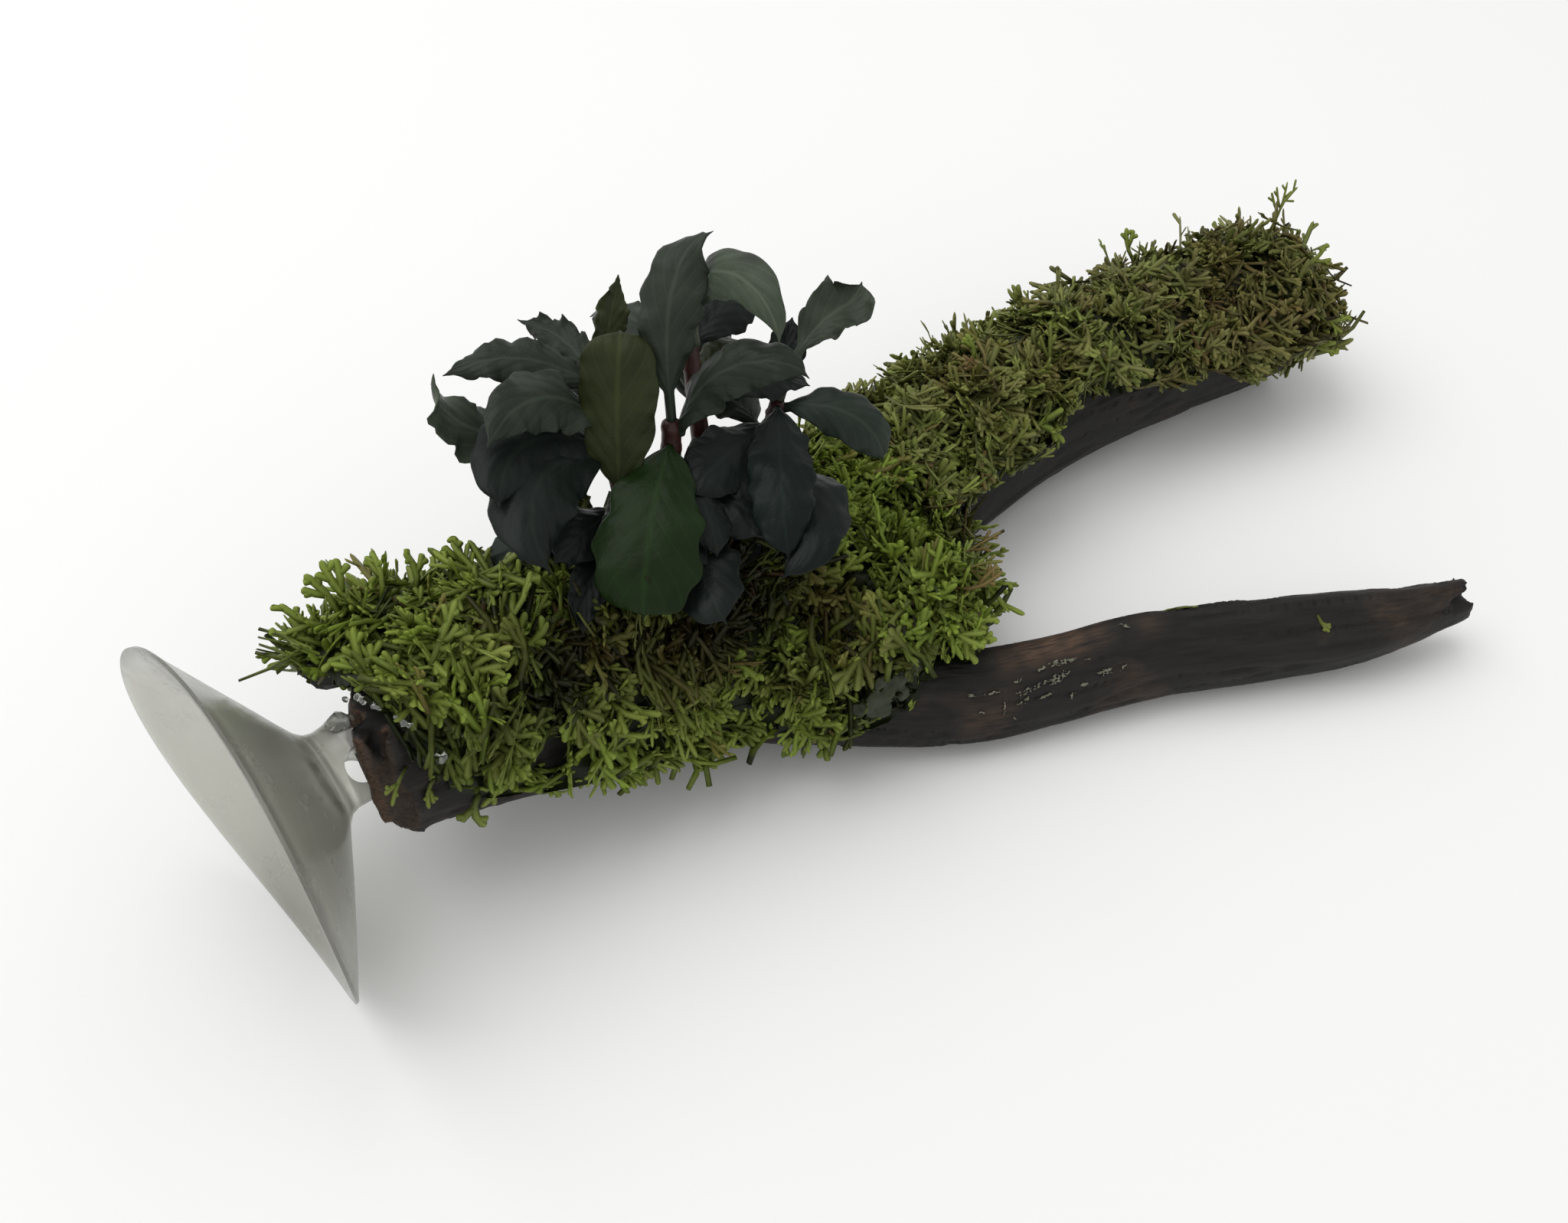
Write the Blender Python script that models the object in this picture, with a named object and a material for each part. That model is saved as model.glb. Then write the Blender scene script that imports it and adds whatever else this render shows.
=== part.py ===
"""Aquarium plant on a forked driftwood branch, with moss pads and a suction cup.

The branch stands on a flat surface on three points: the lower edge of the suction
cup's rim, the bend of the thin front arm and the underside of the thick back arm.
All tables are in millimetres, in the drawing frame: the suction cup's rim plane is
x = 0, its axis runs along +X at the height of its radius, and +Z is up.
"""
import math

import bmesh
import bpy
from mathutils import Matrix, Vector

MM = 0.001
GAP = 0.3
CRISP_ANGLE = math.radians(40)
# How far a cutter reaches to each side of what it cuts
CUTTER_REACH = 9.0

# Place of the drawing frame's point that becomes the origin: middle of the footprint
ORIGIN_X = 91.8
ORIGIN_Y = -23.75

# Suction cup
CUP_RADIUS = 22.5
CUP_LIP = 1.6
CUP_LIP_THICKNESS = 0.5
CUP_DEPTH = 9.5
CUP_HOLLOW_DEPTH = 7.4
CUP_HOLLOW_FLOOR = 3.2
NECK_RADIUS = 5.0
NECK_END = 14.4
NECK_HOLE_RADIUS = 2.0
NECK_HOLE_X = 12.1
NECK_HOLE_TILT = math.radians(56)
CUP_SIDES = 40
NECK_HOLE_SIDES = 16

# Sawn end of the trunk: a plane across X
SAWN_FACE_X = 14.9

# Limbs of the driftwood. Each row is a place on the limb's middle line with the
# limb's half width and half height there: x, y, z, half width, half height
TRUNK = (
    (6.0, 2.0, 23.0, 9.2, 11.2),
    (22.0, 0.5, 20.6, 10.0, 11.4),
    (40.0, -3.5, 17.2, 10.8, 11.6),
    (58.0, -7.5, 13.8, 11.6, 11.2),
    (74.0, -12.0, 11.4, 12.0, 9.8),
    (84.0, -13.0, 10.0, 8.5, 7.0),
)
BACK_ARM = (
    (64.0, -6.5, 12.5, 10.0, 10.5),
    (84.0, -4.0, 10.5, 11.0, 10.2),
    (104.0, -2.0, 9.6, 10.0, 9.6),
    (124.0, -2.0, 10.2, 9.8, 9.8),
    (144.0, -5.0, 10.6, 10.2, 10.0),
    (164.0, -10.5, 10.8, 10.4, 10.2),
    (176.0, -14.9, 11.0, 9.4, 9.6),
)
FRONT_ARM = (
    (58.0, -11.0, 10.5, 8.5, 8.0),
    (69.0, -21.0, 8.4, 7.4, 7.2),
    (79.0, -30.6, 6.4, 6.0, 5.8),
    (90.0, -37.0, 5.8, 5.6, 5.4),
    (103.0, -43.5, 6.4, 5.3, 5.8),
    (117.0, -52.5, 6.2, 5.2, 5.8),
    (130.0, -61.0, 6.3, 4.5, 5.5),
    (142.5, -67.6, 7.6, 2.6, 3.8),
)
LIMBS = {"trunk": (TRUNK, 12), "back": (BACK_ARM, 15), "front": (FRONT_ARM, 17)}
LIMB_SIDES = 16
# Slow bumps round a limb: how many, their size as a share of the radius, where they
# start and how far they wind along the limb (radians)
LIMB_FLUTES = ((2, 0.045, 0.6, 3.3), (3, 0.055, 2.1, -2.4), (5, 0.030, 0.4, 5.1))

# The fork: where the limbs part, and the directions of the three parting planes
FORK = (76.0, -14.5)
PARTING_REAR = math.radians(100)
PARTING_CROTCH = math.radians(-22)
PARTING_FRONT = math.radians(-118)

# The split at the tip of the front arm
SPLIT_ROOT = Vector((135.5, -65.5, 8.4))
SPLIT_ALONG = Vector((0.84, -0.46, 0.28)).normalized()
SPLIT_ACROSS = SPLIT_ALONG.cross(Vector((0.47, 0.75, -0.2))).normalized()
SPLIT_LENGTH = 12.0
SPLIT_MOUTH = 3.3

# The moss coat along the trunk and the back arm, out to the tips of its ribbons:
# x, y, z, reach to the front, to the rear and upwards, then the coat's front edge and
# rear edge in degrees round the limb
MOSS_COAT = (
    (10.2, 3.0, 25.5, 8.0, 9.5, 10.5, 10, 170),
    (13.5, 2.5, 24.0, 13.0, 14.5, 16.0, 0, 185),
    (22.0, 0.5, 20.8, 12.8, 16.2, 17.8, -8, 200),
    (40.0, -3.5, 17.4, 13.2, 16.6, 17.4, -20, 205),
    (58.0, -7.5, 14.2, 14.2, 16.6, 16.8, -22, 205),
    (74.0, -9.5, 12.0, 17.0, 17.6, 16.2, -18, 200),
    (90.0, -4.5, 11.0, 16.5, 16.6, 16.0, 5, 198),
    (104.0, -2.0, 10.2, 14.5, 15.4, 15.6, 12, 196),
    (124.0, -2.0, 10.2, 14.5, 15.4, 15.8, 12, 196),
    (144.0, -5.0, 10.4, 15.0, 15.8, 16.2, 8, 196),
    (164.0, -10.5, 10.6, 15.4, 16.0, 16.6, 5, 196),
    (175.0, -14.6, 10.9, 14.6, 14.6, 15.6, 0, 192),
    (180.5, -16.8, 11.6, 8.0, 8.5, 9.6, 10, 175),
)
# The mound of moss over the fork, in the same way
MOSS_MOUND = (
    (61.0, -13.0, 12.0, 10.0, 11.0, 11.5, -20, 150),
    (70.0, -17.0, 12.0, 14.5, 15.0, 14.5, -15, 150),
    (79.0, -20.5, 11.5, 13.5, 14.5, 13.5, -2, 155),
    (86.0, -22.0, 11.0, 9.5, 10.5, 11.0, 5, 165),
    (90.0, -23.0, 10.5, 4.0, 4.5, 6.0, 10, 165),
)
MOSS_GAP = 0.4
MOSS_COAT_RINGS = 21
MOSS_MOUND_RINGS = 8
MOSS_ARC_STEPS = 10
# How far below the limb's middle line the coat is filled in
MOSS_ROOT_DEPTH = 1.0
# Places along X where one pad of moss ends and the next begins
MOSS_PARTINGS = (44.0, 70.5, 91.0, 136.0)
# The strip of bare wood under the plant, between the front and the rear pad
PLANT_STRIP_START = (44.0, -2.0)
PLANT_STRIP_END = (70.5, -5.4)
PLANT_STRIP_HALF = 5.0

# The plant. The rhizome lies along the trunk; each stem has the place of its foot,
# the place of its top and its radius at the foot
RHIZOME_LINE = ((46.5, -2.6), (52.0, -2.4), (58.0, -3.6), (64.0, -4.2), (68.5, -5.0))
RHIZOME_RADIUS = 1.7
STEMS = {
    "stem_left": ((51.5, -2.5), (55.0, 4.5, 49.5), 1.5),
    "stem_front": ((57.0, -3.5), (59.5, -1.5, 46.0), 1.6),
    "stem_rear": ((62.0, -3.8), (67.5, 4.5, 52.5), 1.4),
    "stem_right": ((66.5, -4.8), (73.0, -5.0, 43.5), 1.5),
}
STEM_TAPER = 0.8
STEM_RINGS = 6
STEM_SIDES = 8
STALK_RADIUS = 0.6

# Leaves: stem, height on it (0 foot, 1 top), side of the stem that it grows from,
# direction it takes, rise at the stem, fall along the leaf, turn along the leaf (all in
# degrees), length and width in mm, roll in degrees, stalk as a share of the length,
# lift of the margins as a share of the width
LEAVES = (
    ("stem_front", 0.80, 218, 218, 3, 68, 4, 22.0, 11.0, -6, 0.10, -0.10),
    ("stem_left", 0.30, 218, 38, 86, 28, -6, 22.0, 9.0, 7, 0.20, 0.03),
    ("stem_front", 1.00, 66, 66, 88, 70, -62, 23.0, 9.4, 9, 0.22, -0.05),
    ("stem_rear", 0.90, 279, 279, 101, 182, -14, 24.0, 9.0, 50, 0.16, -0.10),
    ("stem_left", 1.00, 48, 48, 41, 29, -15, 14.0, 5.6, 45, 0.12, 0.08),
    ("stem_left", 0.98, 128, 128, 40, 68, 34, 17.5, 6.0, -28, 0.12, -0.06),
    ("stem_left", 0.96, 80, 80, 25, 58, 17, 15.5, 5.2, -15, 0.14, 0.08),
    ("stem_left", 0.78, 163, 163, 62, 90, 48, 20.0, 8.2, -45, 0.14, -0.08),
    ("stem_left", 0.66, 133, 133, -8, -98, 45, 24.5, 6.8, -53, 0.35, 0.05),
    ("stem_left", 0.59, 147, 147, 46, 68, 78, 22.5, 9.2, -32, 0.14, -0.08),
    ("stem_left", 0.36, 168, 168, 42, 88, 76, 25.0, 10.2, -18, 0.14, -0.10),
    ("stem_front", 0.88, 316, 316, 80, 108, -14, 21.0, 8.8, 40, 0.10, -0.08),
    ("stem_right", 0.82, 194, 194, 14, 33, -5, 14.0, 8.8, -22, 0.10, -0.08),
    ("stem_right", 0.96, 228, 228, 17, 75, 5, 21.8, 9.2, 0, 0.10, -0.08),
    ("stem_right", 0.94, 308, 308, 22, 110, -14, 15.0, 7.0, 28, 0.14, -0.08),
    ("stem_right", 0.26, 290, 290, 38, 78, -98, 24.5, 9.2, 0, 0.14, -0.08),
    ("stem_right", 1.00, 15, 15, 59, 74, -30, 17.0, 8.6, 26, 0.42, 0.12),
    ("stem_right", 0.88, 35, 35, 46, 8, -3, 10.5, 4.8, 10, 0.24, 0.08),
    ("stem_front", 0.26, 245, 245, 2, 18, -4, 17.0, 9.0, 12, 0.10, -0.10),
    ("stem_left", 0.16, 152, 152, 30, 66, 9, 18.0, 6.6, -20, 0.16, -0.05),
    ("stem_left", 0.25, 186, 186, 27, 24, 3, 10.5, 6.0, -30, 0.12, -0.05),
    ("stem_left", 0.10, 212, 212, 18, 46, 6, 13.5, 4.6, -20, 0.14, 0.05),
    ("stem_rear", 0.84, 18, 18, 38, 74, -14, 12.5, 7.4, 18, 0.12, -0.06),
    ("stem_rear", 0.68, 10, 10, 20, 50, -4, 9.5, 6.2, 15, 0.12, -0.06),
    ("stem_right", 0.45, 205, 205, 35, 40, 8, 7.5, 5.4, -20, 0.12, -0.05),
    ("stem_rear", 0.66, 85, 85, 35, 80, 10, 20.0, 9.0, 0, 0.12, -0.08),
    ("stem_rear", 0.46, 50, 50, 30, 75, -10, 22.0, 9.2, 0, 0.12, -0.08),
    ("stem_left", 0.50, 92, 92, 42, 80, 6, 19.0, 8.4, 0, 0.12, -0.08),
    ("stem_right", 0.66, 80, 80, 20, 60, -15, 17.0, 8.0, 0, 0.12, -0.08),
)
LEAF_RINGS = 9
LEAF_BEND = 1.3
# How fast the blade widens from the stalk and narrows to the tip
BLADE_RISE = 0.55
BLADE_FALL = 0.5
BLADE_PEAK = (BLADE_RISE / (BLADE_RISE + BLADE_FALL)) ** BLADE_RISE * (
    BLADE_FALL / (BLADE_RISE + BLADE_FALL)) ** BLADE_FALL
BLADE_THICKNESS = 0.55
EDGE_THICKNESS = 0.34
MARGIN_WAVE = 0.45
MARGIN_WAVES = 2.0

# Bead of clear glue between the neck of the cup and the wood
GLUE_PLACE = (13.0, 1.4, 29.4)
GLUE_RADIUS = 1.5


def clear_scene():
    """Remove everything that a new file holds."""
    for item in list(bpy.data.objects):
        bpy.data.objects.remove(item, do_unlink=True)


def srgb(hex_colour):
    """Linear colour from an sRGB hex value."""
    values = [int(hex_colour[i:i + 2], 16) / 255 for i in (1, 3, 5)]
    linear = [v / 12.92 if v <= 0.04045 else ((v + 0.055) / 1.055) ** 2.4 for v in values]
    return (*linear, 1.0)


def make_material(name, colour, roughness, metallic=0.0, transmission=0.0):
    """A Principled material of one colour."""
    material = bpy.data.materials.new(name)
    material.use_nodes = True
    shader = material.node_tree.nodes["Principled BSDF"]
    shader.inputs["Base Color"].default_value = srgb(colour)
    shader.inputs["Roughness"].default_value = roughness
    shader.inputs["Metallic"].default_value = metallic
    shader.inputs["Transmission Weight"].default_value = transmission
    material.diffuse_color = srgb(colour)
    return material


def add_object(name, points, faces, parent, material=None):
    """A mesh object from points in millimetres of the drawing frame."""
    mesh = bpy.data.meshes.new(name)
    mesh.from_pydata([Vector(p) * MM for p in points], [], faces)
    item = bpy.data.objects.new(name, mesh)
    bpy.context.collection.objects.link(item)
    item.parent = parent
    if material:
        mesh.materials.append(material)
    return item


def make_guide(item):
    """Mark an object as a cutter or guide that is no part of the model."""
    item.hide_render = True
    item.display_type = 'WIRE'
    return item


def smooth_rows(rows, count):
    """Rows read at even steps from a smooth curve through the given rows."""
    padded = [[2 * a - b for a, b in zip(rows[0], rows[1])]]
    padded += [list(row) for row in rows]
    padded.append([2 * a - b for a, b in zip(rows[-1], rows[-2])])
    result = []
    for step in range(count):
        place = step * (len(rows) - 1) / (count - 1)
        span = min(int(place), len(rows) - 2)
        t = place - span
        p0, p1, p2, p3 = padded[span:span + 4]
        result.append([
            0.5 * (2 * b + (c - a) * t + (2 * a - 5 * b + 4 * c - d) * t * t
                   + (3 * b - a - 3 * c + d) * t * t * t)
            for a, b, c, d in zip(p0, p1, p2, p3)
        ])
    return result


def path_frames(points):
    """Tangent, level side vector and upward vector at each point of a path."""
    frames = []
    for index in range(len(points)):
        before = points[max(index - 1, 0)]
        after = points[min(index + 1, len(points) - 1)]
        tangent = (after - before).normalized()
        side = tangent.cross(Vector((0, 0, 1))).normalized()
        frames.append((tangent, side, side.cross(tangent)))
    return frames


def flute(angle, along):
    """Shape of a limb's section: a round with a few slow bumps that wind along it."""
    return 1 + sum(size * math.cos(lobes * angle + shift + winding * along)
                   for lobes, size, shift, winding in LIMB_FLUTES)


def loft(rings):
    """Points and faces of a solid through rings of equal count."""
    sides = len(rings[0])
    points = [p for ring in rings for p in ring]
    faces = []
    for r in range(len(rings) - 1):
        for s in range(sides):
            a = r * sides + s
            b = r * sides + (s + 1) % sides
            faces.append((a, a + sides, b + sides))
            faces.append((a, b + sides, b))
    faces.append(tuple(range(sides)))
    last = (len(rings) - 1) * sides
    faces.append(tuple(last + s for s in reversed(range(sides))))
    return points, faces


def limb_rings(rows, count, grow=0.0):
    """Rings of points round a limb, made larger all over by grow."""
    smooth = smooth_rows(rows, count)
    centres = [Vector(row[:3]) for row in smooth]
    centres[0] += (centres[0] - centres[1]).normalized() * grow
    centres[-1] += (centres[-1] - centres[-2]).normalized() * grow
    rings = []
    for index, (_, side, up) in enumerate(path_frames(centres)):
        half_width, half_height = smooth[index][3:5]
        ring = []
        for s in range(LIMB_SIDES):
            angle = 2 * math.pi * s / LIMB_SIDES
            shape = flute(angle, index / (count - 1))
            across = (half_width * shape + grow) * math.cos(angle)
            upward = (half_height * shape + grow) * math.sin(angle)
            ring.append(centres[index] + side * across + up * upward)
        rings.append(ring)
    return rings


def fix_normals(item):
    """Turn the faces of a closed mesh outwards."""
    mesh = bmesh.new()
    mesh.from_mesh(item.data)
    bmesh.ops.recalc_face_normals(mesh, faces=mesh.faces)
    mesh.to_mesh(item.data)
    mesh.free()


def apply_boolean(item, other, operation):
    """Join or cut an object with another one, for good."""
    modifier = item.modifiers.new(operation, 'BOOLEAN')
    modifier.operation = operation
    modifier.solver = 'EXACT'
    modifier.object = other
    graph = bpy.context.evaluated_depsgraph_get()
    mesh = bpy.data.meshes.new_from_object(item.evaluated_get(graph))
    item.modifiers.clear()
    item.data = mesh


def cut_by_plane(item, place, normal):
    """Keep the part of a solid behind a plane, and close the cut."""
    mesh = bmesh.new()
    mesh.from_mesh(item.data)
    geometry = mesh.verts[:] + mesh.edges[:] + mesh.faces[:]
    cut = bmesh.ops.bisect_plane(mesh, geom=geometry, dist=1e-7, clear_outer=True,
                                 plane_co=Vector(place) * MM, plane_no=Vector(normal))
    edges = [e for e in cut["geom_cut"] if isinstance(e, bmesh.types.BMEdge)]
    bmesh.ops.contextual_create(mesh, geom=edges)
    bmesh.ops.triangulate(mesh, faces=[f for f in mesh.faces if len(f.verts) > 4])
    bmesh.ops.recalc_face_normals(mesh, faces=mesh.faces)
    mesh.to_mesh(item.data)
    mesh.free()


def whole_branch(name, grow, trunk_from, parent):
    """The three limbs joined in one solid, made larger all over by grow."""
    limbs = []
    for label, (rows, count) in LIMBS.items():
        item = add_object(f"{name}_{label}", *loft(limb_rings(rows, count, grow)), parent)
        fix_normals(item)
        limbs.append(make_guide(item))
    trunk = limbs[0]
    for limb in limbs[1:]:
        apply_boolean(trunk, limb, 'UNION')
        bpy.data.objects.remove(limb, do_unlink=True)
    if trunk_from is not None:
        cut_by_plane(trunk, (trunk_from, 0, 0), (-1, 0, 0))
    return trunk


def copy_as(source, name, material):
    """A copy of a guide solid that is a piece of the model."""
    item = source.copy()
    item.data = source.data.copy()
    item.name = name
    item.data.name = name
    item.hide_render = False
    item.display_type = 'TEXTURED'
    bpy.context.collection.objects.link(item)
    item.data.materials.clear()
    item.data.materials.append(material)
    return item


def sector_piece(source, name, first, second, material):
    """The part of a solid between two upright planes that meet at the fork."""
    item = copy_as(source, name, material)
    for angle, turn in ((first, 1), (second, -1)):
        normal = Vector((math.sin(angle), -math.cos(angle), 0)) * turn
        place = Vector((*FORK, 0)) - normal * GAP / 2
        cut_by_plane(item, place, normal)
    return item


def turned_rings(profile, sides):
    """Rings round the suction cup's axis from a profile of place and radius."""
    rings = []
    for x, radius in profile:
        ring = []
        for s in range(sides):
            angle = 2 * math.pi * s / sides
            ring.append(Vector((x, radius * math.sin(angle), CUP_RADIUS + radius * math.cos(angle))))
        rings.append(ring)
    return rings


def build_suction_cup(parent, material):
    """Shallow cone with a flat lip, a neck and a hole across the neck."""
    hollow_rim = CUP_RADIUS - CUP_LIP
    profile = [
        (CUP_HOLLOW_DEPTH, CUP_HOLLOW_FLOOR),
        (CUP_HOLLOW_DEPTH * 0.5, (hollow_rim + CUP_HOLLOW_FLOOR) * 0.5 + 0.5),
        (0.0, hollow_rim),
        (0.0, CUP_RADIUS),
        (CUP_LIP_THICKNESS, CUP_RADIUS),
        (CUP_DEPTH * 0.55, CUP_RADIUS * 0.62),
        (CUP_DEPTH - 0.6, NECK_RADIUS + 0.9),
        (CUP_DEPTH + 0.4, NECK_RADIUS),
        (NECK_END - 1.2, NECK_RADIUS + 0.2),
        (NECK_END, NECK_RADIUS + 0.6),
    ]
    cup = add_object("suction_cup", *loft(turned_rings(profile, CUP_SIDES)), parent, material)
    fix_normals(cup)
    across = Vector((0, -math.cos(NECK_HOLE_TILT), math.sin(NECK_HOLE_TILT)))
    middle = Vector((NECK_HOLE_X, 0, CUP_RADIUS))
    ends = [middle - across * CUTTER_REACH, middle + across * CUTTER_REACH]
    rings = tube_rings(ends, [NECK_HOLE_RADIUS] * 2, NECK_HOLE_SIDES)
    hole = make_guide(add_object("neck_hole_cutter", *loft(rings), parent))
    fix_normals(hole)
    apply_boolean(cup, hole, 'DIFFERENCE')
    bpy.data.objects.remove(hole, do_unlink=True)
    return cup


def coat_solid(name, rows, count, parent):
    """A closed solid out to the moss tips, filled in to the limb's middle line."""
    smooth = smooth_rows(rows, count)
    centres = [Vector(row[:3]) for row in smooth]
    rings = []
    for index, (_, side, up) in enumerate(path_frames(centres)):
        front_reach, rear_reach, height, front, rear = smooth[index][3:8]
        ring = [centres[index] - up * MOSS_ROOT_DEPTH]
        for s in range(MOSS_ARC_STEPS):
            angle = math.radians(front + (rear - front) * s / (MOSS_ARC_STEPS - 1))
            reach = front_reach if math.cos(angle) > 0 else rear_reach
            ring.append(centres[index] + side * reach * math.cos(angle) + up * height * math.sin(angle))
        rings.append(ring)
    item = add_object(name, *loft(rings), parent)
    fix_normals(item)
    return make_guide(item)


def build_moss(parent, material):
    """The moss coat, hollowed by the branch and parted in pads."""
    coat = coat_solid("moss_coat", MOSS_COAT, MOSS_COAT_RINGS, parent)
    mound = coat_solid("moss_mound", MOSS_MOUND, MOSS_MOUND_RINGS, parent)
    apply_boolean(coat, mound, 'UNION')
    branch = whole_branch("branch_with_gap", MOSS_GAP, None, parent)
    apply_boolean(coat, branch, 'DIFFERENCE')
    for guide in (mound, branch):
        bpy.data.objects.remove(guide, do_unlink=True)
    names = ("moss_trunk_end", "moss_under_plant", "moss_fork", "moss_back_arm_near", "moss_back_arm_tip")
    starts = (None, *MOSS_PARTINGS)
    ends = (*MOSS_PARTINGS, None)
    for name, start, end in zip(names, starts, ends):
        pad = copy_as(coat, name, material)
        if start is not None:
            cut_by_plane(pad, (start + GAP / 2, 0, 0), (-1, 0, 0))
        if end is not None:
            cut_by_plane(pad, (end - GAP / 2, 0, 0), (1, 0, 0))
    under = bpy.data.objects["moss_under_plant"]
    along = (Vector(PLANT_STRIP_END) - Vector(PLANT_STRIP_START)).normalized()
    across = Vector((-along.y, along.x, 0))
    for name, turn in (("moss_front_side", 1), ("moss_rear_side", -1)):
        pad = copy_as(under, name, material)
        place = Vector((*PLANT_STRIP_START, 0)) - across * turn * PLANT_STRIP_HALF
        cut_by_plane(pad, place, across * turn)
    for guide in (under, coat):
        bpy.data.objects.remove(guide, do_unlink=True)


def surface_height(branch, x, y):
    """Height of the branch's upper side at a place, in millimetres."""
    start = Vector((x, y, 80.0)) * MM
    hit, place, _, _ = branch.ray_cast(start, Vector((0, 0, -1)))
    if not hit:
        raise ValueError(f"nothing under {x}, {y}")
    return place.z / MM


def tube_rings(points, radii, sides):
    """Rings round a path, each across the path."""
    rings = []
    for (_, side, up), point, radius in zip(path_frames(points), points, radii):
        rings.append([point + (side * math.cos(2 * math.pi * s / sides)
                               + up * math.sin(2 * math.pi * s / sides)) * radius
                      for s in range(sides)])
    return rings


def stem_radius(foot_radius, height):
    """Radius of a stem at a height from 0, its foot, to 1, its top."""
    return foot_radius * (1 - (1 - STEM_TAPER) * height)


def build_rhizome(branch, parent, material):
    """A creeping stem on the wood: its height is read from the branch under it."""
    points = []
    for x, y in smooth_rows(RHIZOME_LINE, 9):
        highest = max(surface_height(branch, x, y + step) for step in (-RHIZOME_RADIUS, 0, RHIZOME_RADIUS))
        points.append(Vector((x, y, highest + RHIZOME_RADIUS + GAP)))
    radii = [RHIZOME_RADIUS * (0.75 if i in (0, len(points) - 1) else 1.0 + 0.08 * math.cos(2.4 * i))
             for i in range(len(points))]
    add_object("rhizome", *loft(tube_rings(points, radii, 10)), parent, material)
    fix_normals(bpy.data.objects["rhizome"])
    return points


def nearest_height(points, x):
    """Height of a line of points at a place along X."""
    return min(points, key=lambda p: abs(p.x - x)).z


def build_stems(rhizome_points, parent, material):
    """Upright stems from just above the rhizome to their leafy tops."""
    lines = {}
    for name, (foot, top, radius) in STEMS.items():
        foot_height = nearest_height(rhizome_points, foot[0]) + RHIZOME_RADIUS + radius + GAP
        foot_point = Vector((*foot, foot_height))
        top_point = Vector(top)
        places = [i / (STEM_RINGS - 1) for i in range(STEM_RINGS)]
        line = [foot_point.lerp(top_point, place) for place in places]
        radii = [stem_radius(radius, place) for place in places]
        item = add_object(name, *loft(tube_rings(line, radii, STEM_SIDES)), parent, material)
        fix_normals(item)
        lines[name] = (foot_point, top_point, radius)
    return lines


def leaf_frames(stem, row):
    """Midrib points of a leaf with the side and face vectors there, and its blade place."""
    foot, top, radius = stem
    height, growing_side, direction, rise, fall, turn, length = row[1:8]
    roll = math.radians(row[9])
    heading = math.radians(direction)
    outward = math.radians(growing_side)
    point = foot.lerp(top, height)
    if height >= 1.0:
        point += (top - foot).normalized() * (GAP + 0.15)
    else:
        clearance = stem_radius(radius, height) + GAP + 0.1 + STALK_RADIUS * abs(math.sin(math.radians(rise)))
        point += Vector((math.cos(outward), math.sin(outward), 0)) * clearance
    steps = 6 * (LEAF_RINGS - 1)
    frames = []
    for i in range(steps + 1):
        s = i / steps
        pitch = math.radians(rise - fall * s ** LEAF_BEND)
        yaw = heading + math.radians(turn) * s
        along = Vector((math.cos(pitch) * math.cos(yaw), math.cos(pitch) * math.sin(yaw), math.sin(pitch)))
        face = Vector((-math.sin(pitch) * math.cos(yaw), -math.sin(pitch) * math.sin(yaw), math.cos(pitch)))
        face.rotate(Matrix.Rotation(roll * min(1.0, 3 * s), 3, along))
        if i % 6 == 0:
            frames.append((point.copy(), along.cross(face), face, s))
        point = point + along * (length / steps)
    return frames


def blade_width(s, stalk, width):
    """Width of a leaf at a place along it: stalk, then a blade with a drawn-out tip."""
    u = (s - stalk) / (1 - stalk)
    stalk_width = 2 * STALK_RADIUS
    if u <= 0:
        return stalk_width
    body = width * u ** BLADE_RISE * max(1 - u, 0.0) ** BLADE_FALL / BLADE_PEAK
    return max(body, stalk_width * (1 - u), 0.5)


def build_leaf(name, stem, row, parent, material):
    """One leaf as a thin closed solid: stalk, sunken midrib, waved margins."""
    width, stalk, margin_lift = row[8], row[10], row[11]
    rings = []
    for point, side, face, s in leaf_frames(stem, row):
        w = blade_width(s, stalk, width)
        u = max(0.0, (s - stalk) / (1 - stalk))
        flat = min(1.0, u * 4)
        middle = STALK_RADIUS + (BLADE_THICKNESS / 2 - STALK_RADIUS) * flat
        edge = STALK_RADIUS * 0.4 + (EDGE_THICKNESS / 2 - STALK_RADIUS * 0.4) * flat
        wave = MARGIN_WAVE * math.sin(2 * math.pi * MARGIN_WAVES * u) * flat * (w / width)
        upper, lower = [], []
        for place in (-1.0, -0.5, 0.0, 0.5, 1.0):
            shape = flat * w * (margin_lift * place * place + 0.06 * (1 - abs(2 * abs(place) - 1)))
            shape += wave * place * place * (1 if place > 0 else -1)
            centre = point + side * (w / 2 * place) + face * shape
            thickness = middle + (edge - middle) * abs(place)
            upper.append(centre + face * thickness)
            lower.append(centre - face * thickness)
        first = (upper[0] + lower[0]) / 2
        last = (upper[-1] + lower[-1]) / 2
        rings.append([first, *upper[1:-1], last, *reversed(lower[1:-1])])
    item = add_object(name, *loft(rings), parent, material)
    fix_normals(item)


def build_glue(parent, material):
    """A small bead of glue."""
    mesh = bpy.data.meshes.new("glue_bead")
    shape = bmesh.new()
    bmesh.ops.create_icosphere(shape, subdivisions=2, radius=GLUE_RADIUS * MM,
                               matrix=Matrix.Translation(Vector(GLUE_PLACE) * MM))
    shape.to_mesh(mesh)
    shape.free()
    mesh.materials.append(material)
    item = bpy.data.objects.new("glue_bead", mesh)
    bpy.context.collection.objects.link(item)
    item.parent = parent


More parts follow.
